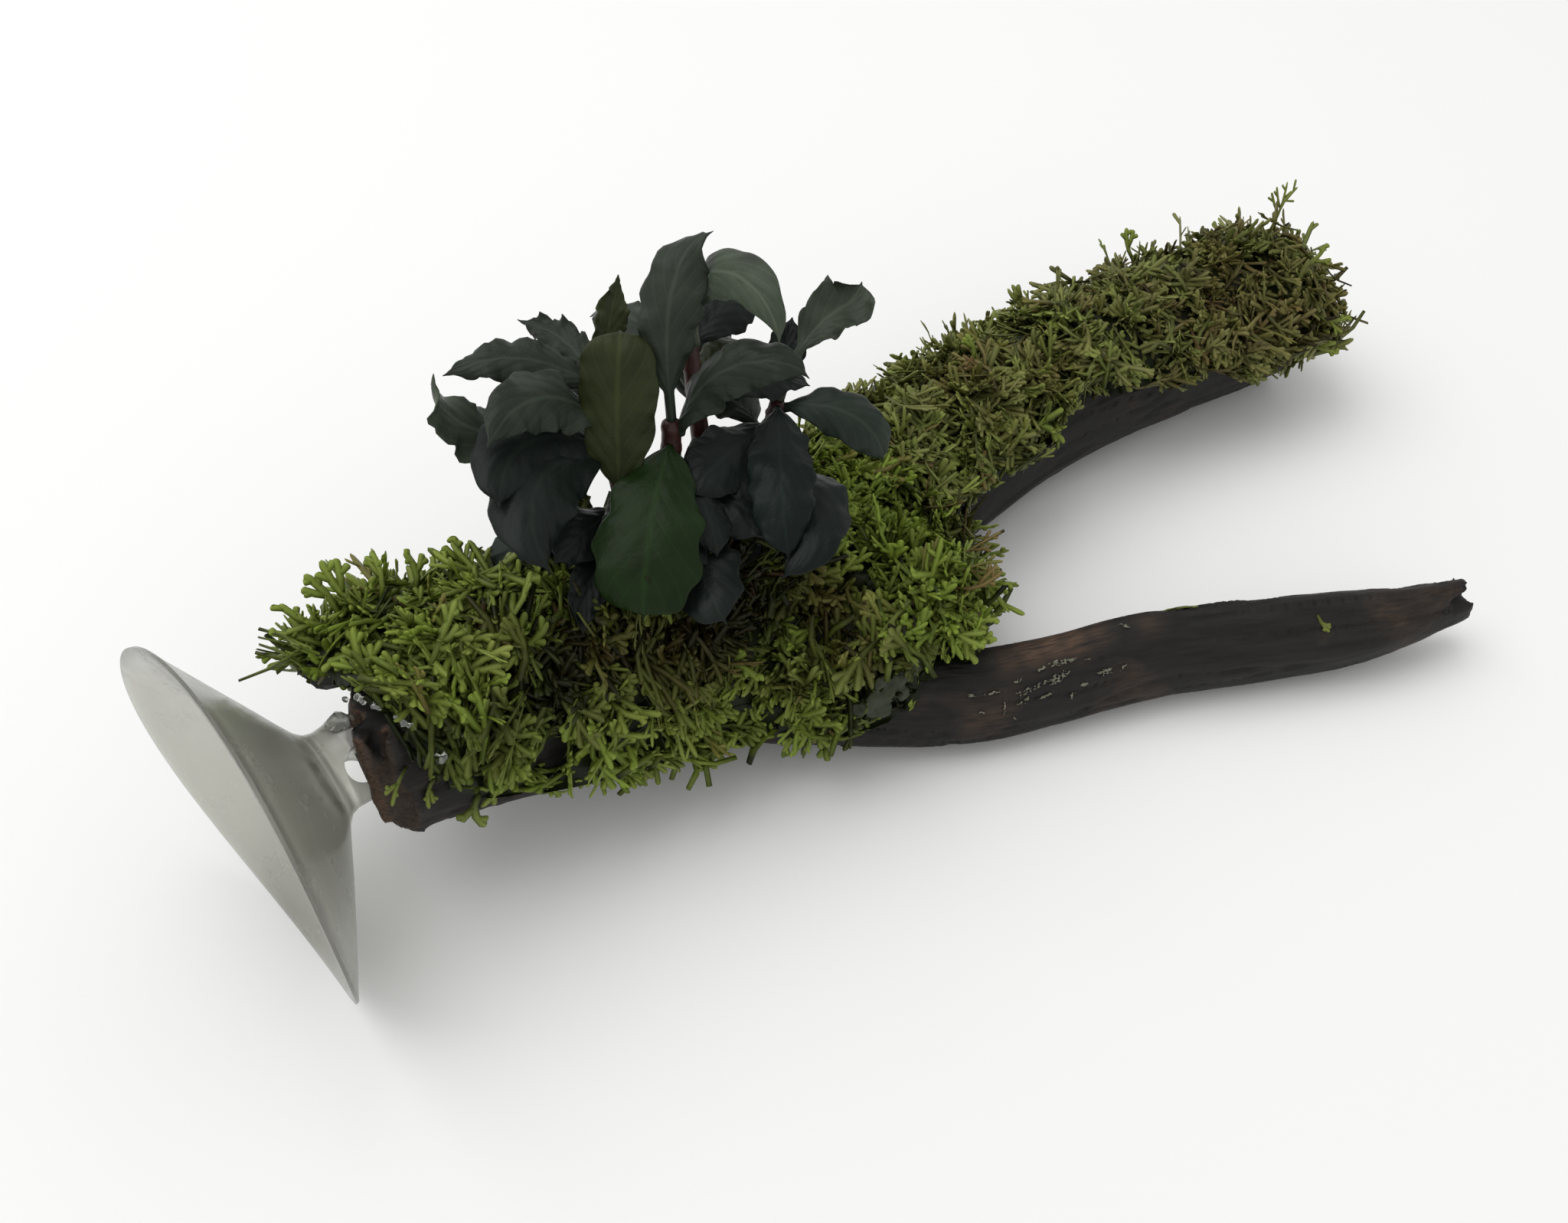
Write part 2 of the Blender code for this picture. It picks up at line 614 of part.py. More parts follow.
def cut_split(front_arm, parent):
    """Cut the split in the tip of the front arm."""
    mouth = SPLIT_ROOT + SPLIT_ALONG * SPLIT_LENGTH
    half = SPLIT_ACROSS * SPLIT_MOUTH / 2
    deep = SPLIT_ALONG.cross(SPLIT_ACROSS) * CUTTER_REACH
    rings = [[p + turn * deep for p in (SPLIT_ROOT, mouth + half, mouth - half)] for turn in (-1, 1)]
    cutter = make_guide(add_object("split_cutter", *loft(rings), parent))
    fix_normals(cutter)
    apply_boolean(front_arm, cutter, 'DIFFERENCE')
    bpy.data.objects.remove(cutter, do_unlink=True)


def shade(item):
    """Smooth shading, with a crisp edge where two faces meet at more than an angle."""
    item.data.shade_smooth()
    item.data.set_sharp_from_angle(angle=CRISP_ANGLE)


def main():
    clear_scene()
    origin = bpy.data.objects.new("branch_origin", None)
    bpy.context.collection.objects.link(origin)
    origin.location = (-ORIGIN_X * MM, -ORIGIN_Y * MM, 0)
    bpy.context.view_layer.update()
    wood = make_material("dark_driftwood", "#2E2825", 0.75)
    clear_plastic = make_material("clear_plastic", "#B9BAB0", 0.25, transmission=0.6)
    moss = make_material("green_moss", "#66802A", 0.7)
    stem_red = make_material("red_stem", "#4A2420", 0.5)
    leaf_green = make_material("dark_leaf", "#2C3A30", 0.4)
    glue = make_material("clear_glue", "#C9CBC4", 0.1, transmission=0.8)
    build_suction_cup(origin, clear_plastic)
    build_glue(origin, glue)
    branch = whole_branch("branch", 0.0, SAWN_FACE_X, origin)
    sector_piece(branch, "wood_trunk", PARTING_REAR, PARTING_FRONT, wood)
    sector_piece(branch, "wood_back_arm", PARTING_CROTCH, PARTING_REAR, wood)
    front_arm = sector_piece(branch, "wood_front_arm", PARTING_FRONT, PARTING_CROTCH, wood)
    cut_split(front_arm, origin)
    build_moss(origin, moss)
    rhizome_points = build_rhizome(branch, origin, stem_red)
    lines = build_stems(rhizome_points, origin, stem_red)
    for number, row in enumerate(LEAVES, start=1):
        build_leaf(f"leaf_{number:02d}", lines[row[0]], row, origin, leaf_green)
    bpy.data.objects.remove(branch, do_unlink=True)
    for piece in origin.children:
        shade(piece)


main()
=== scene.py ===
"""Aquarium plant and moss on a forked driftwood branch, with a clear suction cup.

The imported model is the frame, and each piece here dresses one or more of its solids.
Tables are in millimetres of the drawing frame: the suction cup's rim plane is x = 0, its
axis runs along +X at the height of its radius, and +Z is up. Places that are read from
the photograph are in pixels of its 2048 x 1597 frame.
"""

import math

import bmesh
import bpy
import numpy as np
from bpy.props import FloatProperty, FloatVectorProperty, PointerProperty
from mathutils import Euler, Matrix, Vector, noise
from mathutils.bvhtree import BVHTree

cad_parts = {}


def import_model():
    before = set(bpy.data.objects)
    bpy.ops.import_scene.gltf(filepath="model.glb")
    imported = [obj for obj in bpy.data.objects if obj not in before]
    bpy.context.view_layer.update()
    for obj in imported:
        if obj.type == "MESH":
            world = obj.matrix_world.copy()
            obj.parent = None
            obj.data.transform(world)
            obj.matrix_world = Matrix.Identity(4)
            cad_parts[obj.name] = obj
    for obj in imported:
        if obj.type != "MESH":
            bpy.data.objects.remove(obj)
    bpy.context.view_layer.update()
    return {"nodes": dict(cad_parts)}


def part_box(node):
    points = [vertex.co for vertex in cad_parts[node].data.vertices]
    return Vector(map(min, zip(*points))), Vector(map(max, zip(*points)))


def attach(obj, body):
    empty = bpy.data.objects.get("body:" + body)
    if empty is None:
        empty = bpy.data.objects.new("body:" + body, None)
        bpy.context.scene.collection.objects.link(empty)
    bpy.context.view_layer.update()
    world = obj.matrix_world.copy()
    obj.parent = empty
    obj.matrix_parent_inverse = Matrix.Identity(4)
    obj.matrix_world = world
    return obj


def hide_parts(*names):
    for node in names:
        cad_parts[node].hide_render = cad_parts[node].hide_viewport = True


bl_info = {
    "name": "Aquarium Plant on Driftwood",
    "version": (1, 0, 0),
    "blender": (4, 5, 0),
    "location": "View3D > Sidebar > Driftwood",
    "description": "Driftwood with moss, a broad-leaved water plant and a suction cup",
    "category": "Add Mesh",
}

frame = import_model()

MM = 0.001
# The drawing frame's point that is the world's origin
ORIGIN = Vector((91.8, -23.75, 0.0))

# The camera, as the photograph's perspective gives it
IMAGE_WIDTH = 2048
IMAGE_HEIGHT = 1597
FOCAL_PIXELS = 1886
SENSOR_WIDTH = 36.0
CAMERA_PLACE = Vector((-0.1097, -0.08045, 0.1521))
CAMERA_TURN = Euler((math.radians(42.76), 0.0, math.radians(-42.74)))
PICTURE_RIGHT = Vector((1, 0, 0))
PICTURE_RIGHT.rotate(CAMERA_TURN)
PICTURE_UP = Vector((0, 1, 0))
PICTURE_UP.rotate(CAMERA_TURN)
# Nearest and farthest distance from the camera that a sight line is searched at, in mm
SIGHT_STEPS = (120, 320)

# Suction cup: place along its axis and radius, from the floor of the hollow round the
# rim to the end of the neck
CUP_RADIUS = 22.5
CUP_PROFILE = (
    (7.4, 3.2), (6.9, 4.6), (5.5, 8.0), (3.9, 12.1), (2.1, 16.6), (0.7, 19.8), (0.15, 21.0),
    (0.0, 22.1), (0.1, 22.5), (0.5, 22.4), (1.1, 21.0), (2.3, 18.6), (4.0, 15.2), (5.9, 11.5),
    (7.6, 8.1), (8.7, 6.1), (9.6, 5.2), (10.6, 4.9), (12.0, 5.0), (13.2, 5.25), (14.0, 5.6),
    (14.4, 5.3),
)
CUP_SIDES = 96
NECK_HOLE_X = 12.7
NECK_HOLE_DROP = 2.4
NECK_HOLE_SIDES = 40
NECK_HOLE_RADIUS = 2.0
NECK_HOLE_TILT = math.radians(56)
NECK_HOLE_REACH = 18.0

# Limbs of the driftwood: x, y, z, half width and half height along their middle lines
LIMBS = {
    "trunk": (
        (6.0, 2.0, 23.0, 9.2, 11.2),
        (22.0, 0.5, 20.6, 10.0, 11.4),
        (40.0, -3.5, 17.2, 10.8, 11.6),
        (58.0, -7.5, 13.8, 11.6, 11.2),
        (74.0, -12.0, 11.4, 12.0, 9.8),
        (84.0, -13.0, 10.0, 8.5, 7.0),
    ),
    "back": (
        (64.0, -6.5, 12.5, 10.0, 10.5),
        (84.0, -4.0, 10.5, 11.0, 10.2),
        (104.0, -2.0, 9.6, 10.0, 9.6),
        (124.0, -2.0, 10.2, 9.8, 9.8),
        (144.0, -5.0, 10.6, 10.2, 10.0),
        (164.0, -10.5, 10.8, 10.4, 10.2),
        (176.0, -14.9, 11.0, 9.4, 9.6),
    ),
    "front": (
        (58.0, -11.0, 10.5, 8.5, 8.0),
        (69.0, -21.0, 8.4, 7.4, 7.2),
        (79.0, -30.6, 6.4, 6.0, 5.8),
        (90.0, -37.0, 5.8, 5.6, 5.4),
        (103.0, -43.5, 6.4, 5.3, 5.8),
        (117.0, -52.5, 6.2, 5.2, 5.8),
        (130.0, -61.0, 6.3, 4.5, 5.5),
        (142.5, -67.6, 7.6, 2.6, 3.8),
    ),
}
LIMB_RINGS = 72
LIMB_SIDES = 48
# Bumps round a limb: how many, their height as a share, where they start, how they wind
LIMB_FLUTES = ((2, 0.045, 0.6, 3.3), (3, 0.055, 2.1, -2.4), (5, 0.030, 0.4, 5.1))
# How many times longer the grain is than it is wide, and the widths of its ridges and of
# its cracks
GRAIN_STRETCH = 9.0
GRAIN_WIDTH = 1.5
CRACK_WIDTH = 3.2
# Roughness, step and count of the ridges' octaves, how narrow a crack is within its width,
# and where the cracks are read in the noise
RIDGE_NOISE = (1.0, 2.0, 3)
CRACK_SHARPNESS = 9
CRACK_SHIFT = 7.0
# Distance in metres that keeps the grain of two limbs apart
LIMB_SHIFT = 0.05
# Share of the grain's height on worn wood, and the share of brown that counts as wear
WORN_GRAIN = 0.5
LEAST_WEAR = 0.05
# The split in the tip of the front arm
SPLIT_ROOT = Vector((135.5, -65.5, 8.4))
SPLIT_ALONG = Vector((0.84, -0.46, 0.28)).normalized()
SPLIT_ACROSS = SPLIT_ALONG.cross(Vector((0.47, 0.75, -0.2))).normalized()
SPLIT_LENGTH = 12.0
SPLIT_MOUTH = 3.3
SPLIT_REACH = 9.0

# The sawn end. Its rear edge is broken away: the directions that the breaks face, both
# through the middle place of the sawn face
SAWN_PLACE = Vector((13.5, 1.5, 22.8))
SAWN_FACING = Vector((-1.0, -0.13, 0.0)).normalized()
END_BREAKS = ((-0.72, 0.65, 0.21), (-0.72, 0.65, -0.10))
# A lip of wood stands out in front of the neck: places (x, y) round it with the heights of
# its foot and top
END_LIP = (
    (11.8, -5.4, 16.9, 31.5), (12.6, -3.4, 16.5, 31.5), (19.0, -3.4, 14.0, 31.0),
    (19.0, -7.0, 14.0, 29.5), (15.0, -7.9, 13.7, 31.0),
)
# The lip's bevelled face, which is brown up to its end along x, and browner at its edge
BEVEL_PLACE = Vector((11.8, -5.4, 24.0))
BEVEL_FACING = Vector((-0.62, -0.78, 0.0)).normalized()
BEVEL_EDGE_X = 12.7
BEVEL_END_X = 14.6
# How deep the brown of the sawn face and of the bevelled face goes
SAWN_SKIN = 1.2
BEVEL_SKIN = 0.4
# Chips out of the bevelled face and out of the sawn face: corner places and the depth
BEVEL_CHIPS = (
    (((12.6, -6.0, 32.0), (14.2, -7.3, 32.0), (14.0, -7.2, 28.0), (13.2, -6.5, 24.6),
      (12.6, -6.0, 26.0)), 2.2),
)
SAWN_CHIPS = (
    (((14.0, -1.0, 29.2), (14.1, -3.2, 33.0), (14.8, -9.0, 38.0), (14.7, -7.6, 32.4),
      (14.0, -2.0, 27.2)), 0.6),
)
# How far a chip's cutter stands out of the face
CHIP_CLEARANCE = 1.5
# The light brown chip in the sawn face: its corner places (y, z)
BROWN_CHIP = ((-0.6, 29.6), (-3.0, 33.6), (-9.4, 38.6), (-8.0, 32.6), (-1.6, 27.0))
BROWN_SHARES = {"chip": 1.0, "edge": 0.75, "face": 0.35}
# Worn brown places on the front arm, by pixel: radius in mm and share of brown
WORN_SPOTS = (
    (1318, 862, 2.2, 0.5), (1345, 850, 2.4, 0.8), (1372, 842, 2.4, 0.9), (1400, 836, 2.4, 0.8),
    (1432, 826, 2.0, 0.5), (1272, 944, 2.0, 0.4), (1500, 812, 2.0, 0.3),
)
# Splinters on the sawn end: places of root and tip, and the radius at the root
SPLINTERS = (
    ((13.2, -5.9, 31.0), (13.1, -5.9, 25.4), 0.3),
    ((13.0, -5.7, 28.0), (13.3, -6.1, 24.6), 0.22),
    ((12.8, -5.6, 20.0), (11.9, -5.4, 16.0), 0.5),
    ((13.4, -6.0, 19.6), (12.8, -5.9, 15.9), 0.45),
    ((12.5, -5.3, 24.0), (11.8, -5.2, 20.0), 0.4),
)
# Shares of a splinter's length and of its radius there
SPLINTER_TAPER = ((0, 1), (0.4, 0.9), (0.8, 0.6), (1, 0.3))
SPLINTER_SIDES = 6
WOOD_SOLIDS = ("wood_trunk", "wood_back_arm", "wood_front_arm")

# Moss pads: width and length of a ribbon, ribbons to a square centimetre, lean of the
# ribbons away from upright in degrees, share of ribbons with three twigs instead of one,
# dullness of the green, share of old growth
MOSS_PADS = {
    "moss_trunk_end": (0.98, 8.6, 60, 70, 0.8, 0.15, 0.10),
    "moss_front_side": (0.98, 8.4, 80, 70, 0.8, 0.20, 0.15),
    "moss_rear_side": (0.95, 8.2, 62, 68, 0.6, 0.30, 0.25),
    "moss_fork": (0.98, 8.0, 78, 66, 0.8, 0.05, 0.05),
    "moss_back_arm_near": (0.92, 7.6, 58, 64, 0.6, 0.55, 0.35),
    "moss_back_arm_tip": (0.88, 7.6, 54, 62, 0.5, 0.70, 0.45),
}
# Size of the tufts that the ribbons gather in, and of the patches of old growth
TUFT_SIZE = 7.5
OLD_PATCH_SIZE = 6.0
OLD_PATCH_SHIFT = 4.7
# Share of a ribbon that may hang over a bare place
OVERHANG = 0.05
# How deep the dark mat under the ribbons lies, its least gap over the wood, the size of its
# bumps, and its light (low: painted shade), its dullness and its share of brown
MAT_DEPTH = 4.2
MAT_GAP = 0.6
MAT_GRAIN = 1.7
MAT_SHADE_AND_GROWTH = (-0.2, 0.4, 0.3)
# Shapes of ribbon with three twigs, and as many with one
SHAPES_OF_A_KIND = 8
# Ribbons' tips lie up to this deep, and this much deeper between the tufts
TIP_DEPTH = 2.2
TUFT_DEPTH = 3.0
# Share of the ribbons that stand out instead, and how far
STRAY_SHARE = 0.04
STRAY_REACH = (0.4, 1.6)
# Spread of the lean in degrees, and its least and greatest
LEAN_SPREAD = 17
LEAN_LIMITS = (6, 84)
# A pad has no ribbons this close to a neighbour, and looks this far down for the wood
NEIGHBOUR_GAP = 1.2
WOOD_SEARCH = 12
DEPTH_WITHOUT_WOOD = 6
# Half widths at shares of the length: along a ribbon, along the arm that forks off it, and
# along a twig of either
RIBBON_STOPS = ((0.0, 0.34), (0.35, 0.42), (0.62, 0.46), (0.9, 0.46), (0.97, 0.32), (1.0, 0.0))
ARM_STOPS = ((0.0, 0.38), (0.45, 0.44), (0.9, 0.45), (0.97, 0.3), (1.0, 0.0))
TWIG_STOPS = ((0.0, 0.36), (0.82, 0.43), (0.95, 0.3), (1.0, 0.0))
MOSS_SEED = 11
SCRAP_SEED = 5
# Places in the moss, by pixel: radius in mm, brown of old growth, how far it sinks in, and shade: painted
# shade that darkens the ribbons, which on the crust also stands for its own dark colour
MOSS_SPOTS = (
    (1092, 780, 4.5, 0.75, 1.6, 0.2),
    (1112, 850, 3.5, 0.55, 1.6, 0.3),
    (1190, 895, 3.2, 0.10, 1.6, 0.8),
    (1165, 915, 3.4, 0.10, 1.8, 0.85),
    (1130, 935, 3.0, 0.10, 1.8, 0.8),
    (1250, 470, 8.0, 0.35, 0.4, 0.0),
    (1640, 410, 9.0, 0.45, 0.4, -0.1),
    (1560, 380, 7.0, 0.30, 0.8, 0.0),
    (1050, 905, 4.0, 0.15, 0.8, 0.2),
    (735, 845, 4.0, 0.10, 2.0, 0.7),
    (742, 890, 3.5, 0.10, 2.0, 0.7),
    (740, 930, 3.0, 0.05, 1.6, 0.6),
    (655, 815, 4.0, 0.35, 0.4, 0.2),
    (812, 850, 6.0, 0.55, 1.2, 0.5),
    (905, 850, 7.0, 0.45, 1.2, 0.5),
    (960, 760, 9.0, 0.20, 1.6, 0.8),
    (1000, 800, 5.0, 0.20, 1.0, 0.4),
    (545, 965, 3.2, 0.10, 1.2, 0.6),
    (575, 990, 2.4, 0.10, 1.0, 0.5),
    (1380, 470, 6.0, 0.30, 0.6, 0.0),
    (590, 960, 4.5, 0.05, 0.6, 0.35),
    (650, 985, 4.5, 0.05, 0.4, 0.3),
    (700, 930, 4.5, 0.05, 0.4, 0.3),
)
# Outlines in the picture where wood, sawn face or crust stays bare
BARE_OUTLINES = (
    ((330, 880), (380, 876), (404, 897), (428, 905), (449, 900), (500, 932), (522, 965),
     (540, 1005), (590, 1037), (640, 1048), (700, 1034), (700, 1110), (330, 1110)),
    ((708, 968), (734, 962), (738, 990), (724, 1004), (708, 1000)),
    ((1268, 664), (1320, 624), (1384, 592), (1400, 550), (1427, 522), (1492, 512),
     (1557, 512), (1589, 486), (1629, 506), (1672, 498), (1708, 486), (1722, 458),
     (1775, 458), (1775, 640), (1400, 690), (1290, 690)),
    ((1116, 962), (1160, 946), (1195, 924), (1217, 890), (1228, 868), (1300, 868),
     (1300, 1010), (1116, 1010)),
)
# Single ribbons that stand out: pixel of the root, direction in the picture in degrees,
# length and width in mm, rise off the surface (0 flat, 1 upright), brown of old growth
MOSS_SPRIGS = (
    (468, 790, 122, 7.5, 1.0, 0.5, 0), (492, 775, 88, 6.0, 1.0, 0.5, 0),
    (440, 800, 128, 6.5, 1.0, 0.4, 0), (425, 815, 150, 6.5, 0.9, 0.4, 0),
    (412, 838, 168, 6.0, 0.9, 0.3, 0), (540, 760, 108, 5.0, 1.0, 0.5, 0),
    (600, 742, 96, 5.0, 1.0, 0.5, 0), (1445, 335, 104, 5.5, 0.8, 0.6, 0.1),
    (1478, 330, 92, 5.5, 0.8, 0.6, 0.1), (1270, 465, 105, 4.5, 0.9, 0.6, 0),
    (1665, 285, 72, 8.0, 0.5, 0.7, 0.3), (1672, 290, 60, 8.0, 0.45, 0.7, 0.3),
    (1708, 345, 40, 5.0, 0.7, 0.5, 0.2), (1725, 410, -8, 5.5, 0.7, 0.5, 0.2),
    (1715, 450, -20, 5.0, 0.7, 0.4, 0.2), (1250, 725, 14, 7.5, 0.6, 0.5, 0.9),
    (1255, 745, 2, 6.5, 0.5, 0.4, 0.6), (1250, 762, 4, 7.0, 0.7, 0.5, 0.9),
    (1262, 728, 16, 7.0, 0.8, 0.5, 0.1), (1265, 700, 24, 5.0, 0.8, 0.5, 0),
    (1258, 735, -24, 6.0, 0.35, 0.4, 1.0), (1262, 790, -30, 5.5, 0.9, 0.3, 0),
    (1245, 815, -42, 5.5, 0.9, 0.3, 0), (1262, 830, -14, 5.0, 0.8, 0.3, 0),
)
# How deep they root, their curl, sway and twist, and their light, shade and dullness
SPRIG_DEPTH = 1.2
SPRIG_BENDS = (0.1, 0.05, 0.3)
SPRIG_TONES = (0.34, 0.0, 0.2)
# Single ribbons on bare wood, in the same way, with their thickness as a share
SCRAP_HEIGHT = 0.15
SCRAP_THICKNESS = 0.34
SCRAP_BENDS = (-0.12, 0.1, 0.2)
SCRAP_TONES = (0.25, 0.0, 0.35)
MOSS_SCRAPS = (
    (1550, 793, 182, 4.0, 0.8, 0.1, 0.1), (1536, 797, 20, 3.2, 0.7, 0.1, 0.1),
    (1720, 803, 300, 2.8, 0.6, 0.1, 0.2), (530, 1000, 226, 4.6, 0.7, 0.1, 0),
    (640, 1030, 4, 7.0, 0.9, 0.1, 0), (600, 1016, 340, 6.5, 0.9, 0.15, 0),
    (625, 1035, 285, 5.0, 1.1, 0.2, 0), (690, 1010, 200, 6.5, 0.9, 0.1, 0),
    (630, 1026, 10, 6.0, 0.8, 0.1, 0), (572, 1010, 250, 4.2, 0.6, 0.1, 0.1),
)

# The plant. The rhizome lies along the trunk; a stem has the place of its foot, the
# place of its top and its radius at the foot
RHIZOME_LINE = ((46.5, -2.6), (52.0, -2.4), (58.0, -3.6), (64.0, -4.2), (68.5, -5.0))
RHIZOME_RADIUS = 1.7
STEMS = {
    "stem_left": ((51.5, -2.5), (55.0, 4.5, 49.5), 1.5),
    "stem_front": ((57.0, -3.5), (59.5, -1.5, 46.0), 1.6),
    "stem_rear": ((62.0, -3.8), (67.5, 4.5, 52.5), 1.4),
    "stem_right": ((66.5, -4.8), (73.0, -5.0, 43.5), 1.5),
}
# A stem's radius at its top as a share, its mesh, and the distance between its leaf scars
STEM_TAPER = 0.8
STEM_RINGS = 40
STEM_SIDES = 14
SCAR_SPACING = 2.6
RHIZOME_RINGS = 40
STALK_RADIUS = 0.6
# Height that a search for the wood below starts at
ABOVE_ALL = 80
# Roots: place along the rhizome, direction over the wood in degrees, length
ROOTS = (
    (0.05, 200, 12), (0.12, 165, 14), (0.2, 255, 9), (0.3, 100, 12), (0.42, 280, 10), (0.5, 75, 14),
    (0.6, 250, 9), (0.72, 95, 11), (0.8, 290, 12), (0.95, 330, 13), (0.98, 20, 12),
)
ROOT_RADIUS = 0.32
ROOT_STEPS = 14

# Leaves, in the order of the frame's leaf nodes: stem, height on it (0 foot, 1 top), side
# of the stem that it grows from, direction, rise at the stem, fall along the leaf, turn
# along the leaf (all in degrees), length, width, roll in degrees, stalk as a share of the
# length, lift of the margins as a share of the width; then the green, the place of the
# widest part, how pointed the blade is, the waves of the margin and their height in mm, the
# curl of the tip upwards and to the left in degrees
LEAVES = (
    ("stem_front", 0.8, 218, 218, 3, 68, 4, 22.0, 12.0, -6, 0.02, -0.1,
     "bright", 0.68, 0.8, 2, 0.5, -20, -10),
    ("stem_left", 0.3, 218, 38, 86, 28, -6, 22.0, 9.0, 7, 0.12, -0.04,
     "olive", 0.6, 0.85, 2, 0.45, -85, 30),
    ("stem_front", 1.0, 66, 66, 88, 70, -62, 23.0, 7.2, 9, 0.14, -0.14, "dark", 0.58, 1.3, 3, 0.6, 20, -70),
    ("stem_rear", 0.9, 279, 279, 101, 178, -14, 26.0, 5.6, 50, 0.1, -0.2, "pale", 0.5, 1.2, 2, 0.4, -20, 0),
    ("stem_left", 1.0, 48, 48, 41, 29, -15, 13.0, 4.6, 45, 0.08, 0.12, "olive", 0.45, 1.4, 3, 0.4, 40, 0),
    ("stem_left", 0.98, 128, 128, 40, 68, 34, 17.5, 5.4, -28, 0.04, -0.14,
     "dark", 0.5, 1.5, 4, 0.55, 20, 0),
    ("stem_left", 0.96, 80, 80, 25, 58, 17, 15.5, 4.4, -15, 0.08, 0.14, "dark", 0.5, 1.4, 4, 0.7, 60, 30),
    ("stem_left", 0.78, 163, 163, 62, 90, 48, 20.0, 7.2, -45, 0.04, -0.18,
     "dark", 0.46, 1.4, 3, 0.55, 0, 0),
    ("stem_left", 0.66, 133, 133, -8, -98, 45, 24.5, 7.0, -36, 0.3, -0.12,
     "pale", 0.45, 1.3, 3, 0.7, 30, 40),
    ("stem_left", 0.59, 147, 147, 46, 74, 92, 21.0, 9.4, -32, 0.06, -0.18, "black", 0.5, 1.2, 2, 0.3, 0, 0),
    ("stem_left", 0.54, 168, 168, 40, 86, 92, 24.0, 9.6, -18, 0.06, -0.2, "black", 0.5, 1.3, 2, 0.3, 0, 20),
    ("stem_front", 0.88, 316, 316, 78, 104, -14, 21.0, 6.2, 40, 0.03, -0.22,
     "dark", 0.5, 1.1, 3, 0.55, -30, 10),
    ("stem_right", 0.82, 194, 194, 14, 33, -5, 15.0, 8.6, -22, 0.04, -0.16,
     "black", 0.5, 1.2, 3, 0.5, 0, 0),
    ("stem_right", 0.96, 228, 228, 17, 75, 5, 21.8, 7.8, 0, 0.05, -0.16, "blue", 0.52, 1.1, 4, 0.4, 0, 15),
    ("stem_right", 0.94, 308, 308, 22, 112, -14, 15.5, 6.4, 28, 0.03, -0.16,
     "shade", 0.55, 1.1, 2, 0.35, 0, 0),
    ("stem_right", 0.34, 290, 290, 38, 78, -110, 24.5, 8.6, 0, 0.08, -0.14,
     "blue", 0.5, 1.3, 3, 0.4, 0, -20),
    ("stem_right", 1.0, 15, 15, 59, 74, -30, 17.0, 6.6, 26, 0.36, 0.24, "pale", 0.66, 1.2, 3, 0.8, 80, 30),
    ("stem_right", 0.88, 35, 35, 46, 8, -3, 10.5, 4.8, 10, 0.2, 0.08, "black", 0.5, 1.4, 2, 0.3, 0, 0),
    ("stem_front", 0.26, 245, 245, 2, 18, 4, 17.5, 9.0, 12, 0.06, -0.14,
     "black", 0.55, 1.0, 2, 0.35, -30, 30),
    ("stem_left", 0.16, 152, 152, 14, 60, 24, 18.0, 6.6, -20, 0.1, -0.1, "shade", 0.5, 1.2, 3, 0.6, 30, 0),
    ("stem_left", 0.25, 196, 196, 22, 30, 3, 12.0, 6.6, -30, 0.08, -0.12, "black", 0.5, 1.3, 2, 0.4, 0, 0),
    ("stem_left", 0.14, 205, 205, 14, 52, 16, 15.5, 4.8, -20, 0.1, 0.05, "black", 0.5, 1.3, 3, 0.4, 0, 20),
    ("stem_rear", 0.84, 18, 18, 38, 74, -14, 12.5, 7.4, 18, 0.08, -0.12, "black", 0.5, 1.3, 2, 0.4, 0, 0),
    ("stem_rear", 0.68, 10, 10, 20, 50, -4, 9.5, 6.2, 15, 0.08, -0.1, "olive", 0.5, 1.3, 2, 0.3, 0, 0),
    ("stem_right", 0.45, 205, 205, 35, 40, 8, 7.5, 5.4, -20, 0.08, -0.1, "black", 0.5, 1.3, 2, 0.3, 0, 0),
    ("stem_rear", 0.66, 85, 85, 35, 80, 10, 20.0, 8.0, 0, 0.1, -0.14, "dark", 0.5, 1.4, 3, 0.5, 0, 20),
    ("stem_rear", 0.46, 50, 50, 30, 75, -10, 22.0, 8.4, 0, 0.1, -0.14, "dark", 0.52, 1.4, 3, 0.4, 20, 0),
    ("stem_left", 0.5, 92, 92, 42, 80, 6, 19.0, 7.6, 0, 0.1, -0.14, "black", 0.5, 1.4, 3, 0.5, 0, -20),
    ("stem_right", 0.66, 80, 80, 20, 60, -15, 17.0, 7.2, 0, 0.1, -0.14, "dark", 0.5, 1.4, 3, 0.4, 20, 0),
)
